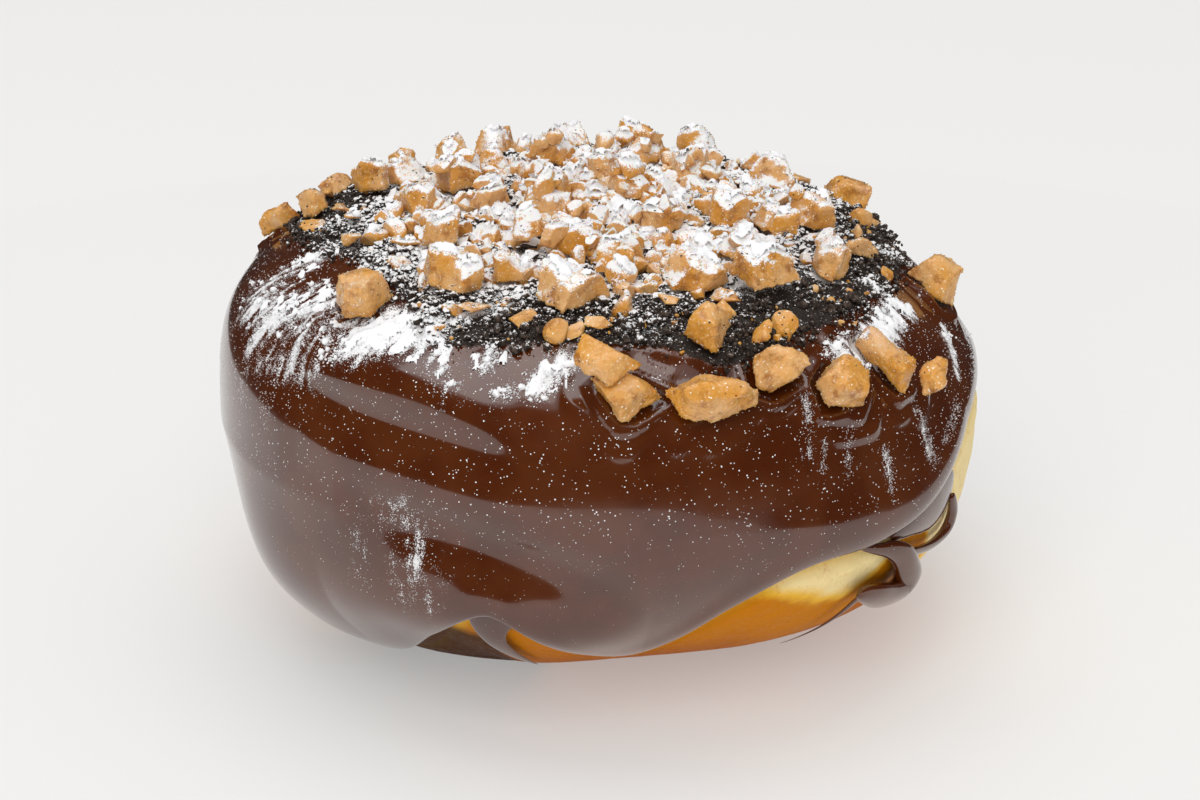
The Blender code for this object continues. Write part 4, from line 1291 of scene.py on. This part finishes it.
@dataclass
class Lumps:
    """Broken lumps refined from plain ones: rounded edges and a rough broken face."""

    voxel: float = 0.22 * MM
    smooth_passes: int = 11
    dent_size: float = 2.4 * MM
    dent_depth: float = 0.38 * MM
    chip_size: float = 0.9 * MM
    chip_depth: float = 0.24 * MM
    grain_size: float = 0.42 * MM
    grain_depth: float = 0.05 * MM
    wear: float = 0.55
    wear_uneven: tuple = (Layer(0.9, 1.5 * MM, 21.0),)
    least_wear: float = 0.25
    worn_edge: float = 0.12 * MM
    chips_on_faces: float = 0.3

    def remeshed(self, name: str, form: bmesh.types.BMesh) -> bpy.types.Mesh:
        """Even mesh over a lump.

        Args:
            name: Name of the mesh.
            form: The lump, which is used up.

        Returns:
            The mesh.
        """
        plain_mesh = mesh_of(name, form)
        item = bpy.data.objects.new(name, plain_mesh)
        bpy.context.scene.collection.objects.link(item)
        remesh = item.modifiers.new("even mesh", "REMESH")
        remesh.mode = "VOXEL"
        remesh.voxel_size = self.voxel
        graph = bpy.context.evaluated_depsgraph_get()
        mesh = bpy.data.meshes.new_from_object(item.evaluated_get(graph))
        bpy.data.objects.remove(item)
        bpy.data.meshes.remove(plain_mesh)
        mesh.name = name
        return mesh

    def refine(self, name: str, form: bmesh.types.BMesh) -> bpy.types.Mesh:
        """Wear a lump's edges unevenly and roughen its faces.

        Args:
            name: Name of the mesh.
            form: The lump, which is used up.

        Returns:
            The mesh.
        """
        mesh = self.remeshed(name, form)
        sharp = mesh_points(mesh)
        worn = bmesh.new()
        worn.from_mesh(mesh)
        for _ in range(self.smooth_passes):
            bmesh.ops.smooth_vert(worn, verts=worn.verts, factor=0.5, use_axis_x=True,
                                  use_axis_y=True, use_axis_z=True)
        worn.to_mesh(mesh)
        worn.free()
        soft = mesh_points(mesh)
        normals = mesh_normals(mesh)
        share = np.clip(self.wear + layered(sharp, self.wear_uneven), self.least_wear, 1.0)[:, None]
        edge = np.clip(np.linalg.norm(sharp - soft, axis=1) / self.worn_edge, 0.0, 1.0)
        chips = rough(sharp, self.chip_size, 13.0) * np.maximum(edge, self.chips_on_faces)
        depth = (self.dent_depth * rough(sharp, self.dent_size, 23.0) + self.chip_depth * chips
                 + self.grain_depth * rough(sharp, self.grain_size, 17.0))
        move_points(mesh, sharp + (soft - sharp) * share + normals * depth[:, None])
        paint(mesh, "edge", edge)
        return mesh


@dataclass
class ToffeeChunks:
    """The large chunks of toffee, each in place of its node."""

    lumps: Lumps = field(default_factory=Lumps)

    def nodes(self) -> list:
        """Names of the toffee nodes."""
        return sorted(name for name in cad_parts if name.startswith("toffee_"))

    def tree(self) -> BVHTree:
        """Search tree of all the chunks."""
        return tree_of_all([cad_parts[name].data for name in self.nodes()])

    def build(self, finish: bpy.types.Material) -> list:
        """Make every chunk.

        Args:
            finish: Toffee.

        Returns:
            The pieces.
        """
        pieces = []
        for name in self.nodes():
            piece_name = name.replace("toffee_", "chunk_")
            mesh = self.lumps.refine(piece_name, merged_node(name))
            FALL.dust(mesh)
            piece = new_piece(piece_name, mesh, finish)
            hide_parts(name)
            pieces.append(piece)
        return pieces


@dataclass
class FusedPieces:
    """Small chips and crumbs that the part fuses to the icing, found where they stand proud."""

    proud: float = 0.03 * MM
    longest_crumb: float = 2.62 * MM
    smallest: float = 0.4 * MM
    fewest_corners: int = 5
    crown_from: float = math.radians(14)
    sink: float = 0.5 * MM
    chip_lumps: Lumps = field(default_factory=lambda: Lumps(
        voxel=0.18 * MM, smooth_passes=5, dent_depth=0.14 * MM, chip_depth=0.14 * MM))
    crumb_lumps: Lumps = field(default_factory=lambda: Lumps(
        voxel=0.14 * MM, smooth_passes=3, dent_size=1.2 * MM, dent_depth=0.18 * MM,
        chip_size=0.5 * MM, chip_depth=0.18 * MM, grain_size=0.25 * MM, grain_depth=0.06 * MM))

    def islands(self, glaze: BVHTree) -> list:
        """Corners of each small piece that stands proud of the glaze.

        Args:
            glaze: Search tree of the glaze before anything was fused to it.

        Returns:
            One array of points for each piece.
        """
        form = merged_node("icing")
        low = [vert for vert in form.verts
               if glaze.find_nearest(vert.co)[3] < self.proud or self.is_run(vert.co)]
        bmesh.ops.delete(form, geom=low, context="VERTS")
        found = []
        left = set(form.verts)
        while left:
            island, stack = set(), [left.pop()]
            while stack:
                vert = stack.pop()
                island.add(vert)
                for edge in vert.link_edges:
                    other = edge.other_vert(vert)
                    if other in left:
                        left.discard(other)
                        stack.append(other)
            if len(island) >= self.fewest_corners:
                found.append(np.array([vert.co[:] for vert in island]))
        form.free()
        found.sort(key=lambda points: tuple(np.round(points.mean(axis=0), 5)))
        return found

    def is_run(self, place: Vector) -> bool:
        """Whether a place is in a run of glaze and not on the crown."""
        return math.atan2(place.z - FORM.waist_height, math.hypot(place.x, place.y)) < self.crown_from

    def hull(self, joined: bmesh.types.BMesh, points: np.ndarray) -> None:
        """Add the closed lump through some points to a form.

        Args:
            joined: The form.
            points: The points, one to a row.
        """
        inward = points.mean(axis=0) - np.array([0, 0, FORM.waist_height])
        inward = -inward / np.linalg.norm(inward) * self.sink
        verts = [joined.verts.new(Vector(point)) for point in np.concatenate([points, points + inward])]
        result = bmesh.ops.convex_hull(joined, input=verts)
        inside = {item for key in ("geom_interior", "geom_unused") for item in result[key]
                  if isinstance(item, bmesh.types.BMVert)}
        bmesh.ops.delete(joined, geom=list(inside), context="VERTS")

    def build(self, glaze: BVHTree, toffee: bpy.types.Material, crumb: bpy.types.Material) -> list:
        """Make the chips and the crumbs.

        Args:
            glaze: Search tree of the glaze before anything was fused to it.
            toffee: Finish of the chips.
            crumb: Finish of the crumbs.

        Returns:
            The two pieces.
        """
        chips, crumbs = bmesh.new(), bmesh.new()
        for points in self.islands(glaze):
            span = np.sort(np.ptp(points, axis=0))
            if span[2] < self.smallest:
                continue
            spread = np.linalg.norm(points[:, None] - points[None], axis=2).max()
            self.hull(chips if spread > self.longest_crumb else crumbs, points)
        chip_mesh = self.chip_lumps.refine("toffee_chips", chips)
        crumb_mesh = self.crumb_lumps.refine("large_crumbs", crumbs)
        FALL.dust(chip_mesh)
        FALL.dust(crumb_mesh)
        return [new_piece("toffee_chips", chip_mesh, toffee),
                new_piece("large_crumbs", crumb_mesh, crumb, soft=False)]


class Ground:
    """What toppings land on: the glaze and the toffee."""

    def __init__(self, coat: bpy.types.Object, toffee: list) -> None:
        """Keep search trees of the glaze and of everything that stands on it.

        Args:
            coat: The glaze.
            toffee: The pieces that stand on it.
        """
        self.coat = tree_of(coat.data)
        self.toffee = tree_of_all([piece.data for piece in toffee])

    def first(self, start: np.ndarray, heading: np.ndarray) -> object:
        """First thing that a line meets.

        Args:
            start: Where the line starts.
            heading: Its direction.

        Returns:
            A grain's place, the normal there, and whether it is toffee, or None.
        """
        start, heading = Vector(start), Vector(heading)
        met = ((kind, tree.ray_cast(start, heading))
               for kind, tree in ((False, self.coat), (True, self.toffee)))
        hits = [(hit[3], hit[0], hit[1], kind) for kind, hit in met if hit[0] is not None]
        if not hits:
            return None
        _, place, normal, on_toffee = min(hits, key=lambda item: item[0])
        return Grain(np.array(place), np.array(normal), on_toffee)


@dataclass
class Grains:
    """Many small grains of one kind, joined in one mesh."""

    name: str
    slot: Slot
    finish: bpy.types.Material
    detail: int = 1
    uneven: float = 0.25
    flatness: float = 0.75
    strikes: int = 0
    strike_depth: tuple = (0.24, 0.42)
    soft: bool = False
    dusted: bool = True
    least_dust: float = 0.12
    places: list = field(default_factory=list)
    sizes: list = field(default_factory=list)

    def add(self, place: np.ndarray, size: float) -> None:
        """Add a grain of a size across."""
        self.places.append(place)
        self.sizes.append(size)

    def seed_shape(self) -> tuple:
        """Corners and faces of a plain grain, 1 across: eight faces, or those of a fine ball."""
        seed = bmesh.new()
        if self.detail:
            bmesh.ops.create_icosphere(seed, subdivisions=self.detail, radius=0.5)
        else:
            bmesh.ops.create_uvsphere(seed, u_segments=4, v_segments=2, radius=0.5)
        corners = np.array([vert.co[:] for vert in seed.verts])
        faces = np.array([[vert.index for vert in face.verts] for face in seed.faces])
        seed.free()
        return corners, faces

    def build(self, draw: np.random.Generator) -> bpy.types.Object:
        """Join all the grains.

        Args:
            draw: Random numbers for their turns and shapes.

        Returns:
            The piece.
        """
        corners, faces = self.seed_shape()
        count = len(self.places)
        axes = np.linalg.qr(draw.normal(size=(count, 3, 3)))[0]
        axes *= np.sign(np.linalg.det(axes))[:, None, None]
        local = corners[None] * (1 + self.uneven * draw.uniform(-1, 1, size=(count, len(corners), 1)))
        for _ in range(self.strikes):
            facing = draw.normal(size=(count, 1, 3))
            facing /= np.linalg.norm(facing, axis=2, keepdims=True)
            reach = (local * facing).sum(axis=2, keepdims=True)
            beyond = reach - draw.uniform(*self.strike_depth, (count, 1, 1))
            local = local - np.maximum(beyond, 0) * facing
        local = local * draw.uniform(self.flatness, 1.0, size=(count, 1, 3))
        local = np.einsum("nij,nkj->nki", axes, local) * np.array(self.sizes)[:, None, None]
        points = (local + np.array(self.places)[:, None, :]).reshape(-1, 3)
        index = faces[None] + len(corners) * np.arange(count)[:, None, None]
        mesh = bpy.data.meshes.new(self.name)
        mesh.from_pydata(points, [], index.reshape(-1, faces.shape[1]))
        if self.dusted:
            FALL.dust(mesh, self.least_dust)
        return new_piece(self.name, mesh, self.finish, soft=self.soft)


@dataclass
class SugarCaps:
    """Soft caps of icing sugar where it lies thick, a sheet that dips under what it leaves bare."""

    reach: float = 45.5 * MM
    step: float = 0.25 * MM
    deepest: float = 0.55 * MM
    sink: float = 0.14 * MM
    rise: float = 1.2 * MM
    gain: float = 0.80
    limit: float = 0.56
    patches: tuple = (Layer(0.7, 1.6 * MM, 71.0), Layer(0.45, 0.55 * MM, 73.0))
    steep: tuple = (0.42 * MM, 0.45 * MM)
    slide: float = 1.2
    bare_below: float = -0.16
    fuzz: tuple = (Layer(0.05 * MM, 0.32 * MM, 79.0),)
    drop_height: float = 80 * MM

    def fall(self, ground: Ground, flat: np.ndarray) -> np.ndarray:
        """Height of what lies under each point.

        Args:
            ground: What the sugar lands on.
            flat: Points of the sheet, one to a row.

        Returns:
            Heights, below zero where nothing lies.
        """
        down = Vector((0, 0, -1))
        heights = np.full(len(flat), -1.0)
        within = np.hypot(flat[:, 0], flat[:, 1]) < self.reach
        for index in np.nonzero(within)[0]:
            start = Vector((flat[index, 0], flat[index, 1], self.drop_height))
            for tree in (ground.coat, ground.toffee):
                hit = tree.ray_cast(start, down)[0]
                if hit is not None:
                    heights[index] = max(heights[index], hit.z)
        return heights

    def unevenness(self, flat: np.ndarray, heights: np.ndarray) -> np.ndarray:
        """Span of heights round each point of the sheet.

        Args:
            flat: Points of the sheet, one to a row.
            heights: Height of what lies under each.

        Returns:
            Spans.
        """
        column, row = np.rint((flat[:, :2] + self.reach) / self.step).astype(int).T
        table = np.full((column.max() + 3, row.max() + 3), -1.0)
        table[column + 1, row + 1] = heights
        near = np.array([table[column + 1 + across, row + 1 + along]
                         for across in (-1, 0, 1) for along in (-1, 0, 1)])
        return near.max(axis=0) - near.min(axis=0)

    def build(self, ground: Ground, finish: bpy.types.Material) -> None:
        """Lay the sheet.

        Args:
            ground: What the sugar lands on.
            finish: Icing sugar.
        """
        cells = round(2 * self.reach / self.step)
        form = bmesh.new()
        bmesh.ops.create_grid(form, x_segments=cells, y_segments=cells, size=self.reach)
        mesh = bpy.data.meshes.new("sugar_caps")
        form.to_mesh(mesh)
        flat = mesh_points(mesh)
        heights = self.fall(ground, flat)
        places = np.stack([flat[:, 0], flat[:, 1], heights], axis=1)
        cover = self.gain * FALL.amount(places) - self.limit + layered(places, self.patches)
        steep_from, steep_fade = self.steep
        cover -= self.slide * smooth((self.unevenness(flat, heights) - steep_from) / steep_fade)
        lift = np.clip(cover * self.rise, -self.sink, self.deepest)
        lift += layered(places, self.fuzz)
        places[:, 2] += lift
        form.verts.ensure_lookup_table()
        bare = (cover < self.bare_below) | (heights < 0)
        bmesh.ops.delete(form, geom=[form.verts[index] for index in np.nonzero(bare)[0]],
                         context="VERTS")
        for vert, place in zip(form.verts, places[~bare]):
            vert.co = place
        form.to_mesh(mesh)
        form.free()
        new_piece("sugar_caps", mesh, finish)


@dataclass
class Toppings:
    """Cookie crumbs, toffee bits and icing sugar, strewn by seeded rules."""

    finishes: dict
    seed: int = 419
    shards: int = 470
    grit: int = 9000
    powder: int = 19000
    lumps: int = 300
    clumps: int = 5000
    crumbs: tuple = (
        Strewn("coarse_crumbs", "crumb", Slot.ICING, 1700, 0.65, 1.5, 2, 0.24, 4),
        Strewn("toffee_bits", "toffee", Slot.TOFFEE, 200, 0.5, 1.5, 2, 0.16, 8),
        Strewn("fine_crumbs", "crumb", Slot.ICING, 9600, 0.32, 0.80, 1, 0.32, 0),
        Strewn("crumb_dust", "crumb", Slot.ICING, 12000, 0.14, 0.30, 0, 0.30, 0),
    )
    crumb_dusting: float = 0.50
    crumb_patches: tuple = (0.70, 0.7, 5.5 * MM, 31.0)
    crumb_pile: float = 1.1 * MM
    crumbs_on_toffee: float = 0.05
    largest_on_toffee: float = 0.3 * MM
    shard_sizes: tuple = (2.2, 2.6)
    shards_from: float = 34.0
    shards_fade: float = 14.0
    shards_on_toffee: float = 0.4
    grit_sizes: tuple = (0.12, 0.34)
    powder_sizes: tuple = (0.06, 0.18)
    powder_everywhere: float = 0.13
    powder_patches: tuple = (Layer(0.35, 2.0 * MM, 41.0),)
    heap_sizes: tuple = (0.2, 0.7)
    heap_grains: tuple = (0.15, 0.36)
    lump_sizes: tuple = (0.5, 1.2)
    drops: int = 2000
    aimed_drops: int = 1200
    side_drops: int = 800
    side_span: tuple = (-12, 32)
    bed_reach: float = 45.6 * MM
    fall_reach: float = 46 * MM
    start: float = 12 * MM
    drop_height: float = 80 * MM

    def on_bed(self, draw: np.random.Generator, count: int) -> tuple:
        """Random azimuths and elevations, evenly spread over the crown.

        Args:
            draw: Random numbers.
            count: How many.

        Returns:
            Azimuths and elevations in radians.
        """
        azimuth = draw.uniform(-math.pi, math.pi, count)
        radius = self.bed_reach * np.sqrt(draw.random(count))
        power = around(azimuth, FORM.crown_power)
        climb = FORM.crown_rise * (1 - (radius / FORM.waist_radius) ** power) ** (1 / power)
        return azimuth, np.arctan2(climb, radius)

    def strew_shards(self, ground: Ground, draw: np.random.Generator) -> bpy.types.Object:
        """Lay small broken toffee between the chunks, most of it at the middle and the back.

        Args:
            ground: What it lands on.
            draw: Random numbers.

        Returns:
            The piece.
        """
        shards = Grains("toffee_shards", Slot.TOFFEE, self.finishes["toffee"], detail=3, uneven=0.03,
                        flatness=0.45, strikes=9)
        while len(shards.places) < self.shards:
            azimuth, elevation = self.on_bed(draw, 400)
            points, normals = FORM.point(azimuth, elevation), FORM.normal(azimuth, elevation)
            chance = 0.05 + 0.95 * smooth(
                (np.degrees(elevation) - self.shards_from) / self.shards_fade)
            keep = draw.random(len(points)) < chance * (FORM.bed_share(azimuth, elevation) > 0.8)
            for point, normal in zip(points[keep], normals[keep]):
                grain = ground.first(point + normal * self.start, -normal)
                crowded = grain is None or grain.on_toffee and draw.random() > self.shards_on_toffee
                if crowded or len(shards.places) >= self.shards:
                    continue
                small, spread = self.shard_sizes
                size = (small + spread * draw.random() ** 1.6) * MM
                shards.add(grain.place + grain.normal * size * 0.16, size)
        return shards.build(draw)

    def strew_crumbs(self, ground: Ground, draw: np.random.Generator,
                     kind: Strewn) -> bpy.types.Object:
        """Lay one kind of crumbs or bits on the bed, thicker in patches.

        Args:
            ground: What they land on.
            draw: Random numbers.
            kind: What is strewn.

        Returns:
            The piece.
        """
        grains = Grains(kind.name, kind.slot, self.finishes[kind.finish], detail=kind.detail,
                        uneven=kind.uneven, flatness=0.6, strikes=kind.strikes)
        if kind.finish == "crumb":
            grains.least_dust = self.crumb_dusting
        least, more, size, shift = self.crumb_patches
        while len(grains.places) < kind.count:
            azimuth, elevation = self.on_bed(draw, 4000)
            points, normals = FORM.point(azimuth, elevation), FORM.normal(azimuth, elevation)
            bed = FORM.bed_share(azimuth, elevation) ** 0.6
            patch = rough(points, size, shift)
            keep = draw.random(len(points)) < bed * np.clip(least + more * patch, 0.2, 1.0)
            for point, normal, thick in zip(points[keep], normals[keep], patch[keep]):
                grain = ground.first(point + normal * self.start, -normal)
                if grain is None or len(grains.places) >= kind.count:
                    continue
                across = (kind.small + (kind.large - kind.small) * draw.random() ** 2.2) * MM
                if grain.on_toffee:
                    if draw.random() > self.crumbs_on_toffee:
                        continue
                    across = min(across, self.largest_on_toffee)
                pile = max(0.0, 0.25 + 0.9 * thick) * draw.random() * self.crumb_pile
                lift = across * 0.2 + (0 if grain.on_toffee else pile)
                grains.add(grain.place + grain.normal * lift, across)
        return grains.build(draw)

    def strew_grit(self, toffee: list, draw: np.random.Generator) -> None:
        """Leave loose grains on the toffee, most of them along its broken edges.

        Args:
            toffee: The large pieces.
            draw: Random numbers.
        """
        places, odds = [], []
        for piece in toffee:
            if "edge" in piece.data.attributes and piece.data.materials[0] == self.finishes["toffee"]:
                edge = np.empty(len(piece.data.vertices))
                piece.data.attributes["edge"].data.foreach_get("value", edge)
                places.append(mesh_points(piece.data))
                odds.append(0.05 + edge ** 2)
        places, odds = np.concatenate(places), np.concatenate(odds)
        grit = Grains("toffee_grit", Slot.TOFFEE, self.finishes["toffee"], detail=0, flatness=0.7)
        for place in places[draw.choice(len(places), self.grit, p=odds / odds.sum())]:
            grit.add(place, draw.uniform(*self.grit_sizes) * MM)
        grit.build(draw)

    def sugar_spots(self, draw: np.random.Generator, ground: Ground) -> list:
        """Places where sugar may lie: half from straight above, the rest on dusted spots and sides.

        Args:
            draw: Random numbers.
            ground: What it lands on.

        Returns:
            The places, each a grain.
        """
        turn = draw.uniform(0, 2 * math.pi, self.drops)
        radius = self.fall_reach * np.sqrt(draw.random(self.drops))
        above = np.stack([radius * np.cos(turn), radius * np.sin(turn),
                          np.full(self.drops, self.drop_height)], axis=1)
        spots, widths, _ = FALL.dusted_spots
        chosen = draw.integers(len(spots), size=self.aimed_drops)
        aside = draw.normal(size=(self.aimed_drops, 3)) * widths[chosen, None] * 0.5
        near = (spots[chosen] + aside) * MM
        sides = FORM.point(draw.uniform(-math.pi, math.pi, self.side_drops),
                           np.radians(draw.uniform(*self.side_span, self.side_drops)))
        aimed = np.concatenate([near, sides])
        heading = np.array([0, 0, FORM.waist_height]) - aimed
        heading /= np.linalg.norm(heading, axis=1, keepdims=True)
        starts = np.concatenate([above, aimed - heading * self.start])
        headings = np.concatenate([np.tile([0, 0, -1.0], (self.drops, 1)), heading])
        order = draw.permutation(len(starts))
        found = (ground.first(*pair) for pair in zip(starts[order], headings[order]))
        return [spot for spot in found if spot]

    def strew_sugar(self, ground: Ground, draw: np.random.Generator) -> None:
        """Sift the icing sugar over everything: single grains, heaps of grains and soft lumps.

        Args:
            ground: What it lands on.
            draw: Random numbers.
        """
        white = self.finishes["sugar"]
        powder = Grains("sugar_powder", Slot.ICING, white, detail=0, flatness=0.7, dusted=False)
        clumps = Grains("sugar_clumps", Slot.ICING, white, detail=1, flatness=0.7, dusted=False)
        lumps = Grains("sugar_lumps", Slot.ICING, white, detail=2, uneven=0.10, flatness=0.5,
                       soft=True, dusted=False)
        while len(powder.places) < self.powder:
            spots = self.sugar_spots(draw, ground)
            places = np.array([spot.place for spot in spots])
            amount = FALL.amount(places)
            chance = np.clip(amount + layered(places, self.powder_patches), 0.0, 1.0)
            for spot, much, odds in zip(spots, amount, chance):
                if draw.random() > odds + self.powder_everywhere or len(powder.places) >= self.powder:
                    continue
                size = draw.uniform(*self.powder_sizes) * MM
                powder.add(spot.place + spot.normal * size * 0.3, size)
                heaped = much > 0.35 and spot.normal[2] > 0.55 and draw.random() < 0.3
                if heaped and len(clumps.places) < self.clumps:
                    self.heap(spot, draw, clumps, draw.uniform(*self.heap_sizes) * MM)
                if heaped and draw.random() < 0.5 and len(lumps.places) < self.lumps:
                    lumps.add(spot.place, draw.uniform(*self.lump_sizes) * MM)
        for grains in (powder, clumps, lumps):
            grains.build(draw)

    def heap(self, spot: Grain, draw: np.random.Generator, grains: Grains, reach: float) -> None:
        """Heap of grains that hang together.

        Args:
            spot: Where it lies.
            draw: Random numbers.
            grains: The grains to add to.
            reach: Half its width.
        """
        number = int(3 + 14 * (reach / MM) ** 2)
        for offset in draw.normal(size=(number, 3)) * reach * 0.5:
            out = offset @ spot.normal
            offset = offset - spot.normal * out + spot.normal * abs(out) * 0.7
            grains.add(spot.place + offset, draw.uniform(*self.heap_grains) * MM)

    def build(self, coat: bpy.types.Object, toffee: list) -> None:
        """Make all the toppings.

        Args:
            coat: The glaze.
            toffee: The large pieces that they lie round and on.
        """
        draw = np.random.default_rng(self.seed)
        shards = self.strew_shards(Ground(coat, toffee), draw)
        ground = Ground(coat, [*toffee, shards])
        crumbs = [self.strew_crumbs(ground, draw, kind) for kind in self.crumbs]
        self.strew_grit(toffee, draw)
        self.strew_sugar(ground, draw)
        SugarCaps().build(Ground(coat, [*toffee, shards, crumbs[0]]), self.finishes["sugar"])


@dataclass
class Studio:
    """Pale table, soft light and the camera."""

    distance: float = 0.350
    lens: float = 86.0
    pitch: float = 22.0
    aim_height: float = 27 * MM
    table_size: float = 8.0
    table_gap: float = 0.05 * MM
    table_colour: tuple = (0.56, 0.553, 0.54)
    table_glow: tuple = (0.98, 0.98, 0.97)
    table_glow_strength: float = 0.32
    flag_radius: float = 190 * MM
    flag_foot: float = 2 * MM
    flag_top: float = 300 * MM
    flag_colour: tuple = (0.03, 0.03, 0.03)
    lights: tuple = (SoftLight("overhead", (-0.10, 0.10, 1.3), 1.1, 5.0, True),
                     SoftLight("front", (-0.15, -0.95, 0.80), 0.9, 7.6, False))
    lights_aim: tuple = (0, 0, 0.03)
    room_shades: tuple = ((0.0, 0.45), (0.5, 0.52), (1.0, 0.62))
    room_blue: float = 1.01

    def camera(self) -> None:
        """Camera at the photograph's angle."""
        pitch = math.radians(self.pitch)
        data = bpy.data.cameras.new("camera")
        data.lens = self.lens
        data.sensor_width = 36.0
        item = bpy.data.objects.new("camera", data)
        item.location = (0, -self.distance * math.cos(pitch),
                         self.aim_height + self.distance * math.sin(pitch))
        item.rotation_euler = (math.pi / 2 - pitch, 0, 0)
        bpy.context.scene.collection.objects.link(item)
        bpy.context.scene.camera = item

    def stage_piece(self, name: str, form: bmesh.types.BMesh, finish: Graph) -> bpy.types.Object:
        """Object of the studio.

        Args:
            name: Its name.
            form: Its form, which is used up.
            finish: Its finish.

        Returns:
            The object.
        """
        mesh = mesh_of(name, form)
        mesh.materials.append(finish.material)
        item = bpy.data.objects.new(name, mesh)
        bpy.context.scene.collection.objects.link(item)
        return item

    def table(self) -> None:
        """Plain pale table, a little self-lit so that the doughnut's shadow stays pale."""
        form = bmesh.new()
        bmesh.ops.create_grid(form, x_segments=1, y_segments=1, size=self.table_size / 2)
        finish = Graph("pale table")
        finish.set(Base_Color=self.table_colour, Roughness=0.7, Specular_IOR_Level=0.2,
                   Emission_Color=self.table_glow, Emission_Strength=self.table_glow_strength)
        table = self.stage_piece("table", form, finish)
        table.location.z = -self.table_gap

    def flag(self) -> None:
        """Dark screen round the doughnut, which shows only in the gloss of the glaze."""
        form = bmesh.new()
        bmesh.ops.create_cone(form, cap_ends=False, segments=96, radius1=self.flag_radius,
                              radius2=self.flag_radius, depth=self.flag_top - self.flag_foot)
        bmesh.ops.translate(form, verts=form.verts, vec=(0, 0, (self.flag_top + self.flag_foot) / 2))
        finish = Graph("dark cloth")
        finish.set(Base_Color=self.flag_colour, Roughness=0.9, Specular_IOR_Level=0.1)
        flag = self.stage_piece("flag", form, finish)
        for ray in ("camera", "diffuse", "shadow", "transmission", "volume_scatter"):
            setattr(flag, f"visible_{ray}", False)

    def soft_light(self, light: SoftLight) -> None:
        """Square soft light that faces the doughnut.

        Args:
            light: The light's place, size and power, and whether the gloss mirrors it.
        """
        data = bpy.data.lights.new(light.name, "AREA")
        data.shape = "SQUARE"
        data.size = light.size
        data.energy = light.power
        item = bpy.data.objects.new(light.name, data)
        item.location = light.place
        aim = Vector(self.lights_aim) - item.location
        item.rotation_euler = aim.to_track_quat("-Z", "Y").to_euler()
        item.visible_glossy = light.mirrored
        bpy.context.scene.collection.objects.link(item)

    def surroundings(self) -> None:
        """Bright room with soft light from every side, more of it from overhead."""
        world = bpy.data.worlds.new("room")
        world.use_nodes = True
        tree = world.node_tree
        coords = tree.nodes.new("ShaderNodeTexCoord")
        split = tree.nodes.new("ShaderNodeSeparateXYZ")
        ramp = tree.nodes.new("ShaderNodeValToRGB")
        tree.links.new(coords.outputs["Generated"], split.inputs["Vector"])
        tree.links.new(split.outputs["Z"], ramp.inputs["Fac"])
        background = tree.nodes["Background"]
        tree.links.new(ramp.outputs["Color"], background.inputs["Color"])
        background.inputs["Strength"].default_value = 1.0
        for index, (place, shade) in enumerate(self.room_shades):
            stop = ramp.color_ramp.elements[index] if index < 2 else ramp.color_ramp.elements.new(place)
            stop.position = place
            stop.color = (shade, shade, shade * self.room_blue, 1)
        bpy.context.scene.world = world

    def build(self) -> None:
        """Set everything up."""
        self.camera()
        self.table()
        self.surroundings()
        self.flag()
        for light in self.lights:
            self.soft_light(light)
        view = bpy.context.scene.view_settings
        view.view_transform = "Standard"
        view.look = "None"


def main() -> None:
    """Build the doughnut and its studio."""
    logging.basicConfig(level=logging.INFO)
    finishes = {"chocolate": ChocolateFinish().material(), "dough": DoughFinish().material(),
                "toffee": ToffeeFinish().material(), "crumb": CrumbFinish().material(),
                "sugar": SugarFinish().material()}
    Studio().build()
    glaze = GlazeCoat()
    chunks = ToffeeChunks()
    coat = glaze.build(chunks.tree(), finishes["chocolate"])
    FriedDough().build(glaze, finishes["dough"])
    GlazeRuns().build(finishes["chocolate"])
    toffee = chunks.build(finishes["toffee"])
    toffee += FusedPieces().build(glaze.coarse_tree(), finishes["toffee"], finishes["crumb"])
    Toppings(finishes).build(coat, toffee)


if __name__ == "__main__":
    main()
